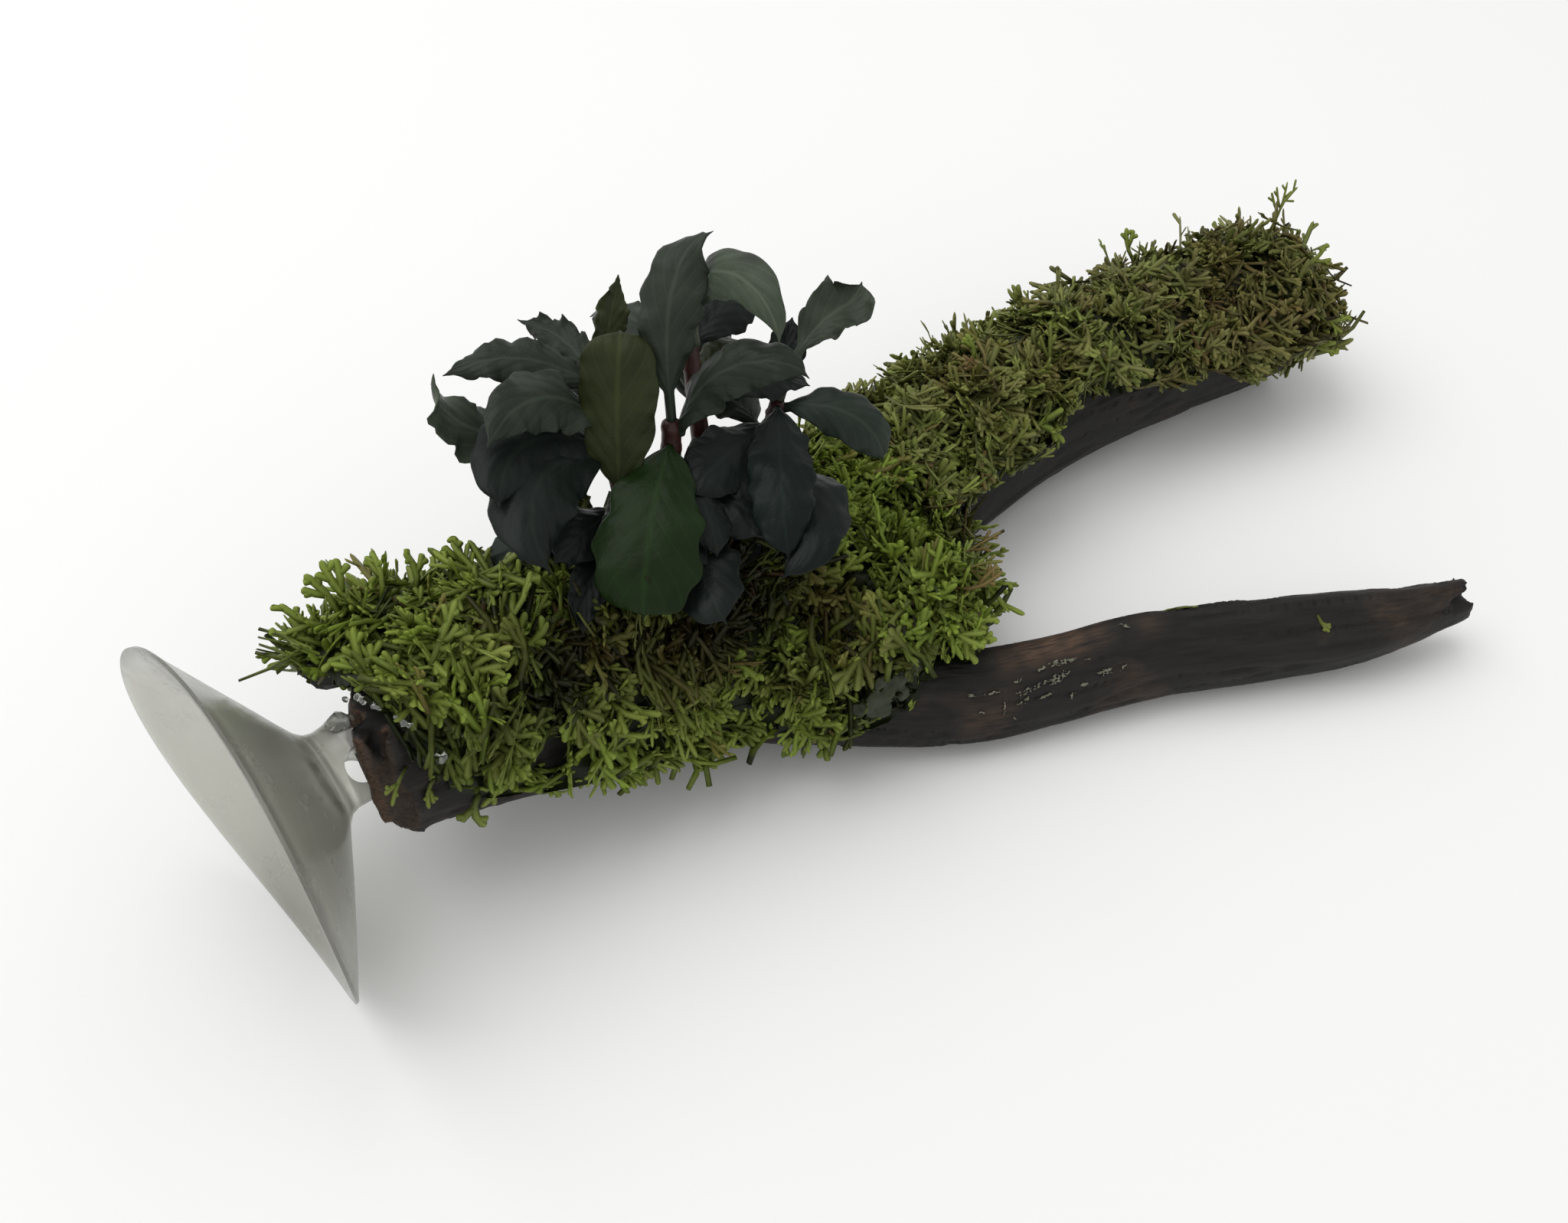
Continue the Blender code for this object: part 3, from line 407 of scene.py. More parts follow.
# Small leaves low on the stems, in the shade of the others, in the same way; their near black tint is
# painted shade
LOW_LEAVES = (
    ("stem_front", 0.45, 285, 285, 15, 60, 10, 14.0, 7.0, 10, 0.1, -0.16, "black", 0.5, 1.3, 2, 0.4, 0, 0),
    ("stem_front", 0.62, 262, 262, 8, 70, -20, 12.5, 6.2, -10, 0.1, -0.16, "black", 0.5, 1.3, 2, 0.4, 0, 0),
    ("stem_front", 0.2, 310, 310, 10, 30, 10, 13.0, 6.6, 0, 0.1, -0.12, "black", 0.5, 1.3, 2, 0.4, 0, 0),
    ("stem_right", 0.22, 215, 215, 6, 30, 14, 12.0, 6.4, 0, 0.1, -0.12, "black", 0.5, 1.3, 2, 0.4, 0, 0),
    ("stem_right", 0.6, 250, 250, 12, 70, 8, 13.0, 6.0, 10, 0.1, -0.16, "black", 0.5, 1.3, 2, 0.4, 0, 0),
    ("stem_left", 0.46, 245, 245, 10, 66, -16, 13.5, 6.4, -6, 0.1, -0.16, "black", 0.5, 1.3, 2, 0.4, 0, 0),
    ("stem_left", 0.26, 272, 272, 8, 34, 10, 12.0, 6.0, 0, 0.1, -0.12, "black", 0.5, 1.3, 2, 0.4, 0, 0),
    ("stem_rear", 0.4, 268, 268, 14, 56, 6, 14.0, 6.6, 0, 0.1, -0.14, "black", 0.5, 1.3, 2, 0.4, 0, 0),
    ("stem_rear", 0.62, 330, 330, 30, 66, -10, 13.0, 6.2, 0, 0.1, -0.14, "black", 0.5, 1.3, 2, 0.4, 0, 0),
    ("stem_left", 0.08, 175, 175, 4, 26, -12, 13.0, 6.0, 0, 0.1, -0.1, "black", 0.5, 1.3, 2, 0.5, 0, 0),
)
# How late a leaf falls, as a power, its steps along and across, and where its tip curls
LEAF_BEND = 1.3
LEAF_STEPS = 48
LEAF_ACROSS = 16
LEAF_TIP_FROM = 0.78
# Where the blade's body ends as a share, and the width of the drawn-out tip from there
BLADE_END = 0.95
TAIL_WIDTH = 0.6
BLADE_THICKNESS = 0.5
EDGE_THICKNESS = 0.26
MIDRIB_DEPTH = 0.22
MIDRIB_WIDTH = 0.55
VEIN_PAIRS = 7
VEIN_RELIEF = 0.02
# Share of the half width that the side veins sweep forward from the midrib to the margin
VEIN_SWEEP = 0.35
# Finer waves on the margin's own: how many to one wave, and their share of its height
SECOND_WAVE = (2.3, 0.35)
THIRD_WAVE = (4.1, 0.3)
# How far the margin wanders, as a share of the half width
NIBBLE = 0.05
# Steps between the numbers that vary the leaves' waves and greens
WAVE_SHIFT = 2.4
GREEN_SHIFT = 5.1
# Number that the low leaves are counted from, clear of the others
FIRST_LOW_LEAF = 40

# Mesh sizes of the glue bead, of the skins of gel, and of the flecks, whose own is in pixels
BEAD_VOXEL = 0.22
SKIN_VOXEL = 0.2
FLECK_STEP = 0.7
# Size and height of the waves in the skin of the bead and of the gel
BEAD_WAVE_SIZE = 0.8
BEAD_WAVE = 0.16
SKIN_WAVE_SIZE = 0.9
SKIN_WAVE = 0.25
# Bead of clear glue between the neck and the wood: places and radii of its lumps
GLUE_LUMPS = (
    ((13.0, 1.2, 27.6), 1.25), ((13.9, 0.4, 28.0), 0.9), ((12.7, 2.2, 26.7), 0.9),
    ((14.1, 1.8, 26.6), 0.8), ((14.4, -0.8, 29.6), 0.6), ((14.3, 0.2, 31.6), 0.45),
)
# Drops and skins of gel on the surface, by pixel: radius of each in mm, height as a share
GLUE_SKIN = (
    (464, 910, 0.45, 0.6), (471, 915, 0.5, 0.5), (486, 921, 0.4, 0.5), (493, 925, 0.35, 0.5),
    (516, 938, 0.4, 0.3), (528, 944, 0.5, 0.3), (536, 948, 0.4, 0.3), (573, 990, 0.6, 0.4),
    (582, 988, 0.5, 0.4), (602, 961, 0.3, 0.3),
)
WHITE_SKIN = (
    (577, 992, 0.45, 0.5), (583, 989, 0.35, 0.5), (571, 996, 0.3, 0.5), (543, 952, 0.25, 0.4),
    (604, 960, 0.25, 0.4), (533, 947, 0.2, 0.4), (473, 916, 0.2, 0.5),
)
CRUST_SKIN = (
    (1118, 938, 1.2, 0.4), (1135, 930, 1.3, 0.4), (1150, 922, 1.4, 0.4), (1168, 912, 1.5, 0.4),
    (1160, 900, 1.2, 0.4), (1182, 896, 1.4, 0.4), (1194, 884, 1.2, 0.4), (1205, 874, 1.0, 0.4),
    (1185, 912, 1.1, 0.4), (1160, 932, 1.2, 0.4), (1140, 944, 0.9, 0.4),
)
# Noise over which a dried film has a hole, its longest edge across a step in the wood, and
# its thickness
BROKEN_FROM = 0.22
LONGEST_EDGE = 1.0
FILM_THICKNESS = 0.2
# Dried films on bare wood, by pixel: centre, half length and half width in pixels, turn in
# degrees, thickness in mm, how ragged the edge is
PALE_FLECKS = (
    (1383, 885, 15, 5, 34, 0.12, 0.9), (1352, 897, 24, 4, 28, 0.1, 1.0),
    (1338, 914, 10, 3, 40, 0.1, 1.0), (1385, 865, 18, 4, 14, 0.1, 0.9),
    (1443, 877, 9, 4, 10, 0.1, 0.9), (1298, 904, 14, 2, 8, 0.1, 1.0),
    (1282, 930, 4, 2, 0, 0.1, 0.9), (1400, 908, 5, 3, 60, 0.1, 0.9),
    (1415, 893, 6, 2, 20, 0.1, 0.9), (1468, 870, 9, 2, 40, 0.1, 0.9),
    (1468, 818, 8, 2, -20, 0.1, 0.9), (1325, 936, 3, 2, 0, 0.1, 0.9),
    (1270, 908, 6, 2, 0, 0.1, 0.9), (1311, 925, 2, 8, 0, 0.1, 0.9),
    (1362, 873, 8, 2, 20, 0.1, 1.0), (1366, 908, 9, 2, 32, 0.1, 1.0),
    (1420, 862, 7, 2, 10, 0.1, 1.0), (1328, 890, 7, 2, 24, 0.1, 1.0),
)


def linear(hex_colour):
    """Linear colour from an sRGB hex value."""
    values = [int(hex_colour[i:i + 2], 16) / 255 for i in (1, 3, 5)]
    channels = [v / 12.92 if v <= 0.04045 else ((v + 0.055) / 1.055) ** 2.4 for v in values]
    return (*channels, 1.0)


def colour_setting(name, description, hex_colour):
    """A colour that a user can change."""
    return FloatVectorProperty(name=name, description=description, subtype='COLOR', size=4,
                               min=0.0, max=1.0, default=linear(hex_colour))


def size_setting(name, description, default):
    """A length that a user can change, in metres."""
    return FloatProperty(name=name, description=description, default=default, min=0.0,
                         subtype='DISTANCE', unit='LENGTH')


def share_setting(name, description, default):
    """A share from 0 to 1 that a user can change."""
    return FloatProperty(name=name, description=description, default=default, min=0.0, max=1.0,
                         subtype='FACTOR')


def world(x, y, z):
    """Place in metres of the world from millimetres of the drawing frame."""
    return (Vector((x, y, z)) - ORIGIN) * MM


def per_mm(size):
    """Scale of a pattern on metre coordinates whose feature is a size in millimetres."""
    return 1000.0 / size


def add_node(tree, kind, settings=None, links=None):
    """Add a shader node with its settings and links."""
    node = tree.nodes.new("ShaderNode" + kind)
    set_node(tree, node, settings or {}, links or {})
    return node


def set_node(tree, node, settings, links):
    """Give a node its properties, input values and ramp stops, and link its inputs from
    sockets, or from the first output of other nodes."""
    for key, value in settings.items():
        if key == "stops":
            ramp = node.color_ramp
            for place, _ in value[2:]:
                ramp.elements.new(place)
            for element, (place, colour) in zip(ramp.elements, value):
                element.position = place
                element.color = colour
        elif isinstance(key, int) or key in node.inputs:
            node.inputs[key].default_value = value
        else:
            setattr(node, key, value)
    for key, source in links.items():
        socket = source if isinstance(source, bpy.types.NodeSocket) else source.outputs[0]
        tree.links.new(socket, node.inputs[key])


def start_material(name):
    """An empty node material: its tree, its Principled shader and the object's places."""
    material = bpy.data.materials.new(name)
    material.use_nodes = True
    tree = material.node_tree
    place = add_node(tree, "TexCoord").outputs["Object"]
    return material, tree, tree.nodes["Principled BSDF"], place


def tree_of(*items):
    """A search tree over the surfaces of objects, or of solids of the frame by their names."""
    points = []
    faces = []
    for item in items:
        mesh = (frame["nodes"][item] if isinstance(item, str) else item).data
        start = len(points)
        points += [v.co.copy() for v in mesh.vertices]
        faces += [[start + i for i in polygon.vertices] for polygon in mesh.polygons]
    return BVHTree.FromPolygons(points, faces)


def read_rows(items, key, width, kind=np.float32):
    """Values of a mesh's items as an array with one row for each."""
    values = np.empty(len(items) * width, kind)
    items.foreach_get(key, values)
    return values.reshape(-1, width)


def seen_at(px, py, tree):
    """Place and normal of the surface that the photograph shows at a pixel, or of the
    surface nearest to the line of sight where it misses."""
    aim = Vector((px - IMAGE_WIDTH / 2, IMAGE_HEIGHT / 2 - py, -FOCAL_PIXELS))
    aim.rotate(CAMERA_TURN)
    aim.normalize()
    place, normal, _, _ = tree.ray_cast(CAMERA_PLACE, aim)
    if place is None:
        sights = [tree.find_nearest(CAMERA_PLACE + aim * step * MM) for step in range(*SIGHT_STEPS)]
        place, normal, _, _ = min(sights, key=lambda found: found[3])
    return place, normal


def deselect_all():
    """Leave edit mode and select nothing."""
    if bpy.context.object and bpy.context.object.mode != 'OBJECT':
        bpy.ops.object.mode_set(mode='OBJECT')
    bpy.ops.object.select_all(action='DESELECT')


def make_active(item):
    """Select one object alone."""
    deselect_all()
    item.select_set(True)
    bpy.context.view_layer.objects.active = item


def apply_modifier(item, kind, **settings):
    """Add a modifier and apply it."""
    make_active(item)
    modifier = item.modifiers.new(kind, kind)
    for key, value in settings.items():
        setattr(modifier, key, value)
    bpy.ops.object.modifier_apply(modifier=modifier.name)


def join(items):
    """Join objects into the first one."""
    make_active(items[0])
    for item in items[1:]:
        item.select_set(True)
    bpy.ops.object.join()
    return items[0]


def add_mesh(name, points, faces):
    """An object from points in metres and faces."""
    mesh = bpy.data.meshes.new(name)
    mesh.from_pydata(points, [], faces)
    item = bpy.data.objects.new(name, mesh)
    bpy.context.collection.objects.link(item)
    return item


def add_big_mesh(name, points, corners, sizes, growth):
    """An object from flat arrays, for meshes of many faces, with a colour attribute."""
    mesh = bpy.data.meshes.new(name)
    mesh.vertices.add(len(points))
    mesh.vertices.foreach_set("co", points.astype(np.float32).ravel())
    mesh.loops.add(len(corners))
    mesh.loops.foreach_set("vertex_index", corners.astype(np.int32))
    mesh.polygons.add(len(sizes))
    starts = np.concatenate(([0], np.cumsum(sizes)[:-1]))
    mesh.polygons.foreach_set("loop_start", starts.astype(np.int32))
    mesh.update(calc_edges=True)
    layer = mesh.attributes.new("growth", 'FLOAT_COLOR', 'POINT')
    layer.data.foreach_set("color", growth.astype(np.float32).ravel())
    mesh.shade_smooth()
    item = bpy.data.objects.new(name, mesh)
    bpy.context.collection.objects.link(item)
    return item


def outward_normals(item):
    """Turn the faces of a closed piece outwards."""
    mesh = bmesh.new()
    mesh.from_mesh(item.data)
    bmesh.ops.recalc_face_normals(mesh, faces=mesh.faces)
    mesh.to_mesh(item.data)
    mesh.free()


def finish_piece(piece, material, slot, *nodes):
    """Give a piece its material and its body, and hide the solids that it stands for. The slot is not used.
    """
    piece.data.materials.clear()
    piece.data.materials.append(material)
    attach(piece, "root")
    if nodes:
        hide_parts(*nodes)


def smooth_rows(rows, count):
    """Rows read at even steps from a smooth curve through the given rows."""
    padded = [[2 * a - b for a, b in zip(rows[0], rows[1])]]
    padded += [list(row) for row in rows]
    padded.append([2 * a - b for a, b in zip(rows[-1], rows[-2])])
    result = []
    for step in range(count):
        place = step * (len(rows) - 1) / (count - 1)
        span = min(int(place), len(rows) - 2)
        t = place - span
        p0, p1, p2, p3 = padded[span:span + 4]
        result.append([
            0.5 * (2 * b + (c - a) * t + (2 * a - 5 * b + 4 * c - d) * t * t
                   + (3 * b - a - 3 * c + d) * t * t * t)
            for a, b, c, d in zip(p0, p1, p2, p3)
        ])
    return result


def path_frames(points):
    """Tangent, level side vector and upward vector at each point of a path."""
    frames = []
    for index in range(len(points)):
        before = points[max(index - 1, 0)]
        after = points[min(index + 1, len(points) - 1)]
        tangent = (after - before).normalized()
        side = tangent.cross(Vector((0, 0, 1))).normalized()
        frames.append((tangent, side, side.cross(tangent)))
    return frames


def loft(rings):
    """Points and faces of a closed solid through rings of equal count."""
    sides = len(rings[0])
    points = [p for ring in rings for p in ring]
    faces = []
    for r in range(len(rings) - 1):
        for s in range(sides):
            a = r * sides + s
            b = r * sides + (s + 1) % sides
            faces.append((a, a + sides, b + sides, b))
    faces.append(tuple(range(sides)))
    last = (len(rings) - 1) * sides
    faces.append(tuple(last + s for s in reversed(range(sides))))
    return points, faces


def tube(points, radii, sides):
    """Rings round a path in the drawing frame, turned into places of the world."""
    rings = []
    for (_, side, up), point, radius in zip(path_frames(points), points, radii):
        rings.append([world(*(point + (side * math.cos(2 * math.pi * s / sides)
                                       + up * math.sin(2 * math.pi * s / sides)) * radius))
                      for s in range(sides)])
    return rings


class CupSettings(bpy.types.PropertyGroup):
    """Suction cup and glue."""
    rim_bow: size_setting("Rim bow", "How far the rim's front and rear bow away from the wood", 0.002)
    plastic: colour_setting("Plastic", "Tint of the clear plastic", "#C6C6BC")
    glue: colour_setting("Glue", "Tint of the clear glue", "#DADCD6")


class WoodSettings(bpy.types.PropertyGroup):
    """Driftwood."""
    voxel: size_setting("Detail", "Mesh size that the joined limbs are remade with", 0.00055)
    grain_depth: size_setting("Grain depth", "Height of the lengthwise grain", 0.00022)
    crack_depth: size_setting("Crack depth", "Depth of the narrow lengthwise cracks", 0.0004)
    dark: colour_setting("Dark", "Wet outer wood", "#131211")
    mid: colour_setting("Mid", "Raised grain", "#262422")
    brown: colour_setting("Brown", "Worn edges and sawn wood", "#5E4837")


class MossSettings(bpy.types.PropertyGroup):
    """Moss."""
    ribbon_scale: FloatProperty(name="Ribbon width", description="Factor on the ribbons' width",
                                default=1.0, min=0.5, max=2.0)
    thickness: share_setting("Thickness", "Thickness of a ribbon as a share of its width", 0.32)
    root: colour_setting("Roots", "Shaded green at the ribbons' roots", "#161D07")
    tip: colour_setting("Tips", "Fresh green towards the tips", "#84993A")
    end: colour_setting("Ends", "Darker green at the very ends of lit ribbons", "#586920")
    olive_tip: colour_setting("Olive tips", "Dull green towards the tips of older pads", "#7C7A4C")
    olive_end: colour_setting("Olive ends", "Very ends of lit ribbons on older pads", "#4C4E2C")
    brown: colour_setting("Old growth", "Brown roots of old ribbons", "#35220F")
    tan: colour_setting("Old tips", "Tan tips of old ribbons", "#75623C")


class PlantSettings(bpy.types.PropertyGroup):
    """Rhizome, stems and leaves."""
    dark: colour_setting("Dark leaf", "Grey green of most leaves", "#2A3128")
    pale: colour_setting("Pale leaf", "Grey green of the sunlit upper leaves", "#3C4438")
    # Painted shade: this near black tint darkens the leaves deep in the plant, which the others shade
    black: colour_setting("Shaded leaf", "Near black green of old leaves", "#141A17")
    bright: colour_setting("New leaf", "Bright green of the front leaf", "#15260A")
    olive: colour_setting("Olive leaf", "Olive green of the narrow upper leaves", "#2A3019")
    # Painted shade: the lower leaves get this darker green for the shade of the leaves above
    shade: colour_setting("Lower leaf", "Dull grey green of the lower leaves", "#222A23")
    blue: colour_setting("Blue leaf", "Blue green of the leaves on the right", "#0C1512")
    stem: colour_setting("Stem", "Red brown of the stems", "#341A15")


class ResidueSettings(bpy.types.PropertyGroup):
    """Dried films and crust."""
    white: colour_setting("White film", "Dried glue on the trunk's end", "#A7ABA2")
    pale: colour_setting("Pale flecks", "Dried film on bare wood", "#6C6B5C")
    crust: colour_setting("Crust", "Slimy crust on the front arm", "#232A10")


class StageSettings(bpy.types.PropertyGroup):
    """Floor and light."""
    floor: colour_setting("Floor", "Pale floor", "#F4F4F3")
    sky_strength: FloatProperty(name="Room light", description="Strength of the even light from all round",
                                default=0.75, min=0.0)
    panel_power: FloatProperty(name="Panel power", description="Power of the soft light panel",
                               default=4.5, min=0.0, unit='POWER')


def clear_pvc(settings):
    """Soft clear PVC, moulded and handled: slightly hazy, greyish where it is thick."""
    material, tree, shader, place = start_material("clear_soft_pvc")
    haze = add_node(tree, "TexNoise", {"Scale": per_mm(4.0), "Detail": 3.0}, {"Vector": place})
    rough = add_node(tree, "MapRange", {"To Min": 0.16, "To Max": 0.34}, {"Value": haze})
    bump = add_node(tree, "Bump", {"Strength": 0.12, "Distance": 0.0003}, {"Height": haze})
    set_node(tree, shader, {"Base Color": settings.plastic, "Transmission Weight": 0.85, "IOR": 1.53},
             {"Roughness": rough, "Normal": bump})
    return material


def clear_glue(settings):
    """Cured gel glue: glassy, with small waves in its skin."""
    material, tree, shader, place = start_material("cured_clear_glue")
    waves = add_node(tree, "TexNoise", {"Scale": per_mm(0.9), "Detail": 2.0}, {"Vector": place})
    bump = add_node(tree, "Bump", {"Strength": 0.5, "Distance": 0.0002}, {"Height": waves})
    set_node(tree, shader, {"Base Color": settings.glue, "Roughness": 0.08, "IOR": 1.46,
                            "Transmission Weight": 0.9}, {"Normal": bump})
    return material


def wet_driftwood(settings):
    """Waterlogged driftwood: near black, with lengthwise grain, brown where it is worn."""
    material, tree, shader, place = start_material("waterlogged_driftwood")
    grain = add_node(tree, "Attribute", {"attribute_name": "grain"}).outputs["Vector"]
    wear = add_node(tree, "Attribute", {"attribute_name": "wear"}).outputs["Fac"]
    streaks = add_node(tree, "TexNoise", {"Scale": per_mm(1.1), "Detail": 6.0, "Roughness": 0.62},
                       {"Vector": grain})
    fibres = add_node(tree, "TexNoise", {"Scale": per_mm(0.35), "Detail": 3.0}, {"Vector": grain})
    clouds = add_node(tree, "TexNoise", {"Scale": per_mm(9.0), "Detail": 3.0}, {"Vector": place})
    streak_colour = add_node(tree, "ValToRGB", {"stops": ((0.34, settings.dark), (0.72, settings.mid))},
                             {"Fac": streaks})
    brown_cloud = add_node(tree, "MapRange", {"From Min": 0.52, "From Max": 0.74, "To Max": 0.35},
                           {"Value": clouds})
    brown_share = add_node(tree, "Math", {"operation": 'MAXIMUM'}, {0: brown_cloud, 1: wear})
    brown_fibres = add_node(tree, "MapRange", {"From Min": 0.25, "From Max": 0.6}, {"Value": fibres})
    brown_streak = add_node(tree, "Math", {"operation": 'MULTIPLY'}, {0: brown_share, 1: brown_fibres})
    colour = add_node(tree, "Mix", {"data_type": 'RGBA', 7: settings.brown},
                      {0: brown_streak, 6: streak_colour}).outputs[2]
    rough = add_node(tree, "MapRange", {"To Min": 0.42, "To Max": 0.72}, {"Value": streaks})
    height = add_node(tree, "Math", {"operation": 'ADD'}, {0: streaks, 1: fibres})
    bump = add_node(tree, "Bump", {"Strength": 0.55, "Distance": 0.00025}, {"Height": height})
    set_node(tree, shader, {"Specular IOR Level": 0.22},
             {"Base Color": colour, "Roughness": rough, "Normal": bump})
    return material


def ribbon_moss(settings):
    """Fleshy liverwort ribbons, wet: painted shade at the roots and on deep ribbons, fresh tips, old brown
    growth.
    """
    material, tree, shader, place = start_material("fleshy_ribbon_moss")
    growth = add_node(tree, "Attribute", {"attribute_name": "growth"}).outputs["Color"]
    parts = add_node(tree, "SeparateColor", None, {"Color": growth})
    mottle = add_node(tree, "TexNoise", {"Scale": per_mm(1.6), "Detail": 3.0}, {"Vector": place})
    # Real cells are too fine to show in the render, so they are drawn 0.3 mm wide
    cells = add_node(tree, "TexNoise", {"Scale": per_mm(0.3), "Detail": 1.0}, {"Vector": place})
    shift = add_node(tree, "MapRange", {"To Min": -0.16, "To Max": 0.16}, {"Value": mottle})
    painted_light_and_mottle = add_node(tree, "Math", {"operation": 'ADD'}, {0: parts.outputs["Red"], 1: shift})
    # Painted shade: each ramp runs from the shaded colour at a ribbon's root to its lit tip
    green, olive, brown = (add_node(tree, "ValToRGB", {"stops": stops}, {"Fac": painted_light_and_mottle}) for stops in (
        ((0.08, settings.root), (0.98, settings.tip), (0.98, settings.end)),
        ((0.08, settings.root), (0.98, settings.olive_tip), (0.98, settings.olive_end)),
        ((0.1, settings.brown), (0.95, settings.tan)),
    ))
    dull = add_node(tree, "Mix", {"data_type": 'RGBA'},
                    {0: parts.outputs["Green"], 6: green, 7: olive}).outputs[2]
    colour = add_node(tree, "Mix", {"data_type": 'RGBA'},
                      {0: parts.outputs["Blue"], 6: dull, 7: brown}).outputs[2]
    bump = add_node(tree, "Bump", {"Strength": 0.35, "Distance": 0.0001}, {"Height": cells})
    set_node(tree, shader, {"Roughness": 0.4, "IOR": 1.4, "Specular IOR Level": 0.25},
             {"Base Color": colour, "Normal": bump})
    return material


def wet_leaf():
    """Leathery wet leaf: satin skin, a paler midrib and faint pairs of side veins."""
    material, tree, shader, place = start_material("leathery_wet_leaf")
    tint = add_node(tree, "Attribute", {"attribute_name": "tint"}).outputs["Color"]
    blade = add_node(tree, "UVMap", {"uv_map": "blade"})
    parts = add_node(tree, "SeparateXYZ", None, {"Vector": blade})
    across = add_node(tree, "Math", {"operation": 'SUBTRACT', 1: 0.5}, {0: parts.outputs["Y"]})
    aside = add_node(tree, "Math", {"operation": 'ABSOLUTE'}, {0: across})
    midrib = add_node(tree, "MapRange", {"From Min": 0.012, "From Max": 0.05, "To Min": 1.0, "To Max": 0.0},
                      {"Value": aside})
    sweep = add_node(tree, "Math", {"operation": 'MULTIPLY', 1: -2 * VEIN_SWEEP}, {0: aside})
    phase = add_node(tree, "Math", {"operation": 'ADD'}, {0: parts.outputs["X"], 1: sweep})
    turns = add_node(tree, "Math", {"operation": 'MULTIPLY', 1: VEIN_PAIRS * 2 * math.pi}, {0: phase})
    ripple = add_node(tree, "Math", {"operation": 'COSINE'}, {0: turns})
    vein = add_node(tree, "MapRange", {"From Min": 0.9, "From Max": 1.0, "To Max": 0.5}, {"Value": ripple})
    pale = add_node(tree, "Math", {"operation": 'MAXIMUM'}, {0: midrib, 1: vein})
    patches = add_node(tree, "TexNoise", {"Scale": per_mm(4.5), "Detail": 4.0}, {"Vector": place})
    # The skin's own grain is too fine to show in the render, so it is drawn 0.5 mm wide
    specks = add_node(tree, "TexNoise", {"Scale": per_mm(0.5), "Detail": 2.0}, {"Vector": place})
    value = add_node(tree, "MapRange", {"From Min": 0.3, "From Max": 0.7, "To Min": 0.72, "To Max": 1.3},
                     {"Value": patches})
    lift = add_node(tree, "Math", {"operation": 'MULTIPLY_ADD', 1: 0.55}, {0: pale, 2: value})
    colour = add_node(tree, "HueSaturation", None, {"Color": tint, "Value": lift})
    rough = add_node(tree, "MapRange", {"To Min": 0.3, "To Max": 0.52}, {"Value": patches})
    quilt = add_node(tree, "Math", {"operation": 'MULTIPLY_ADD', 1: -0.35}, {0: ripple, 2: specks})
    bump = add_node(tree, "Bump", {"Strength": 0.35, "Distance": 0.00015}, {"Height": quilt})
    set_node(tree, shader, {"IOR": 1.4, "Specular IOR Level": 0.2},
             {"Base Color": colour, "Roughness": rough, "Normal": bump})
    return material


def red_stem(settings):
    """Fleshy red brown stem, scarred where old leaves stood."""
    material, tree, shader, place = start_material("fleshy_red_stem")
    patches = add_node(tree, "TexNoise", {"Scale": per_mm(1.4), "Detail": 4.0}, {"Vector": place})
    value = add_node(tree, "MapRange", {"To Min": 0.3, "To Max": 1.7}, {"Value": patches})
    colour = add_node(tree, "HueSaturation", {"Color": settings.stem}, {"Value": value})
    bump = add_node(tree, "Bump", {"Strength": 0.4, "Distance": 0.0002}, {"Height": patches})
    set_node(tree, shader, {"Roughness": 0.42, "IOR": 1.4}, {"Base Color": colour, "Normal": bump})
    return material


def thin_film(name, colour, roughness, transmission, mottle_size):
    """A thin dried or slimy film: mottled, with a wrinkled skin."""
    material, tree, shader, place = start_material(name)
    mottle = add_node(tree, "TexNoise", {"Scale": per_mm(mottle_size), "Detail": 4.0}, {"Vector": place})
    value = add_node(tree, "MapRange", {"From Min": 0.3, "From Max": 0.7, "To Min": 0.55, "To Max": 1.3},
                     {"Value": mottle})
    tone = add_node(tree, "HueSaturation", {"Color": colour}, {"Value": value})
    bump = add_node(tree, "Bump", {"Strength": 0.5, "Distance": 0.0002}, {"Height": mottle})
    set_node(tree, shader, {"Roughness": roughness, "Transmission Weight": transmission, "IOR": 1.4},
             {"Base Color": tone, "Normal": bump})
    return material


def limb_path(rows, count):
    """Smooth rows of a limb, its centres and the directions there."""
    smooth = smooth_rows(rows, count)
    centres = [Vector(row[:3]) for row in smooth]
    return smooth, centres, path_frames(centres)


def flute(angle, along):
    """Shape of a limb's section: a round with a few slow bumps that wind along it."""
    return 1 + sum(size * math.cos(lobes * angle + shift + winding * along)
                   for lobes, size, shift, winding in LIMB_FLUTES)


def build_limb(name, rows):
    """One limb of the branch as a closed solid."""
    smooth, centres, frames = limb_path(rows, LIMB_RINGS)
    rings = []
    for index, (_, side, up) in enumerate(frames):
        half_width, half_height = smooth[index][3:5]
        ring = []
        for s in range(LIMB_SIDES):
            angle = 2 * math.pi * s / LIMB_SIDES
            shape = flute(angle, index / (LIMB_RINGS - 1))
            point = centres[index] + side * (half_width * shape * math.cos(angle))
            ring.append(world(*(point + up * (half_height * shape * math.sin(angle)))))
        rings.append(ring)
    limb = add_mesh(name, *loft(rings))
    outward_normals(limb)
    return limb


def cut_out(limb, rings):
    """Cut the solid between two rings out of a limb."""
    cutter = add_mesh("cutter", *loft(rings))
    outward_normals(cutter)
    apply_modifier(limb, 'BOOLEAN', operation='DIFFERENCE', object=cutter)
    bpy.data.objects.remove(cutter, do_unlink=True)


def split_tip(limb):
    """Cut the split in the tip of the front arm."""
    mouth = SPLIT_ROOT + SPLIT_ALONG * SPLIT_LENGTH
    half = SPLIT_ACROSS * SPLIT_MOUTH / 2
    deep = SPLIT_ALONG.cross(SPLIT_ACROSS) * SPLIT_REACH
    wedge = (SPLIT_ROOT, mouth + half, mouth - half)
    cut_out(limb, [[world(*(corner + deep * way)) for corner in wedge] for way in (-1, 1)])


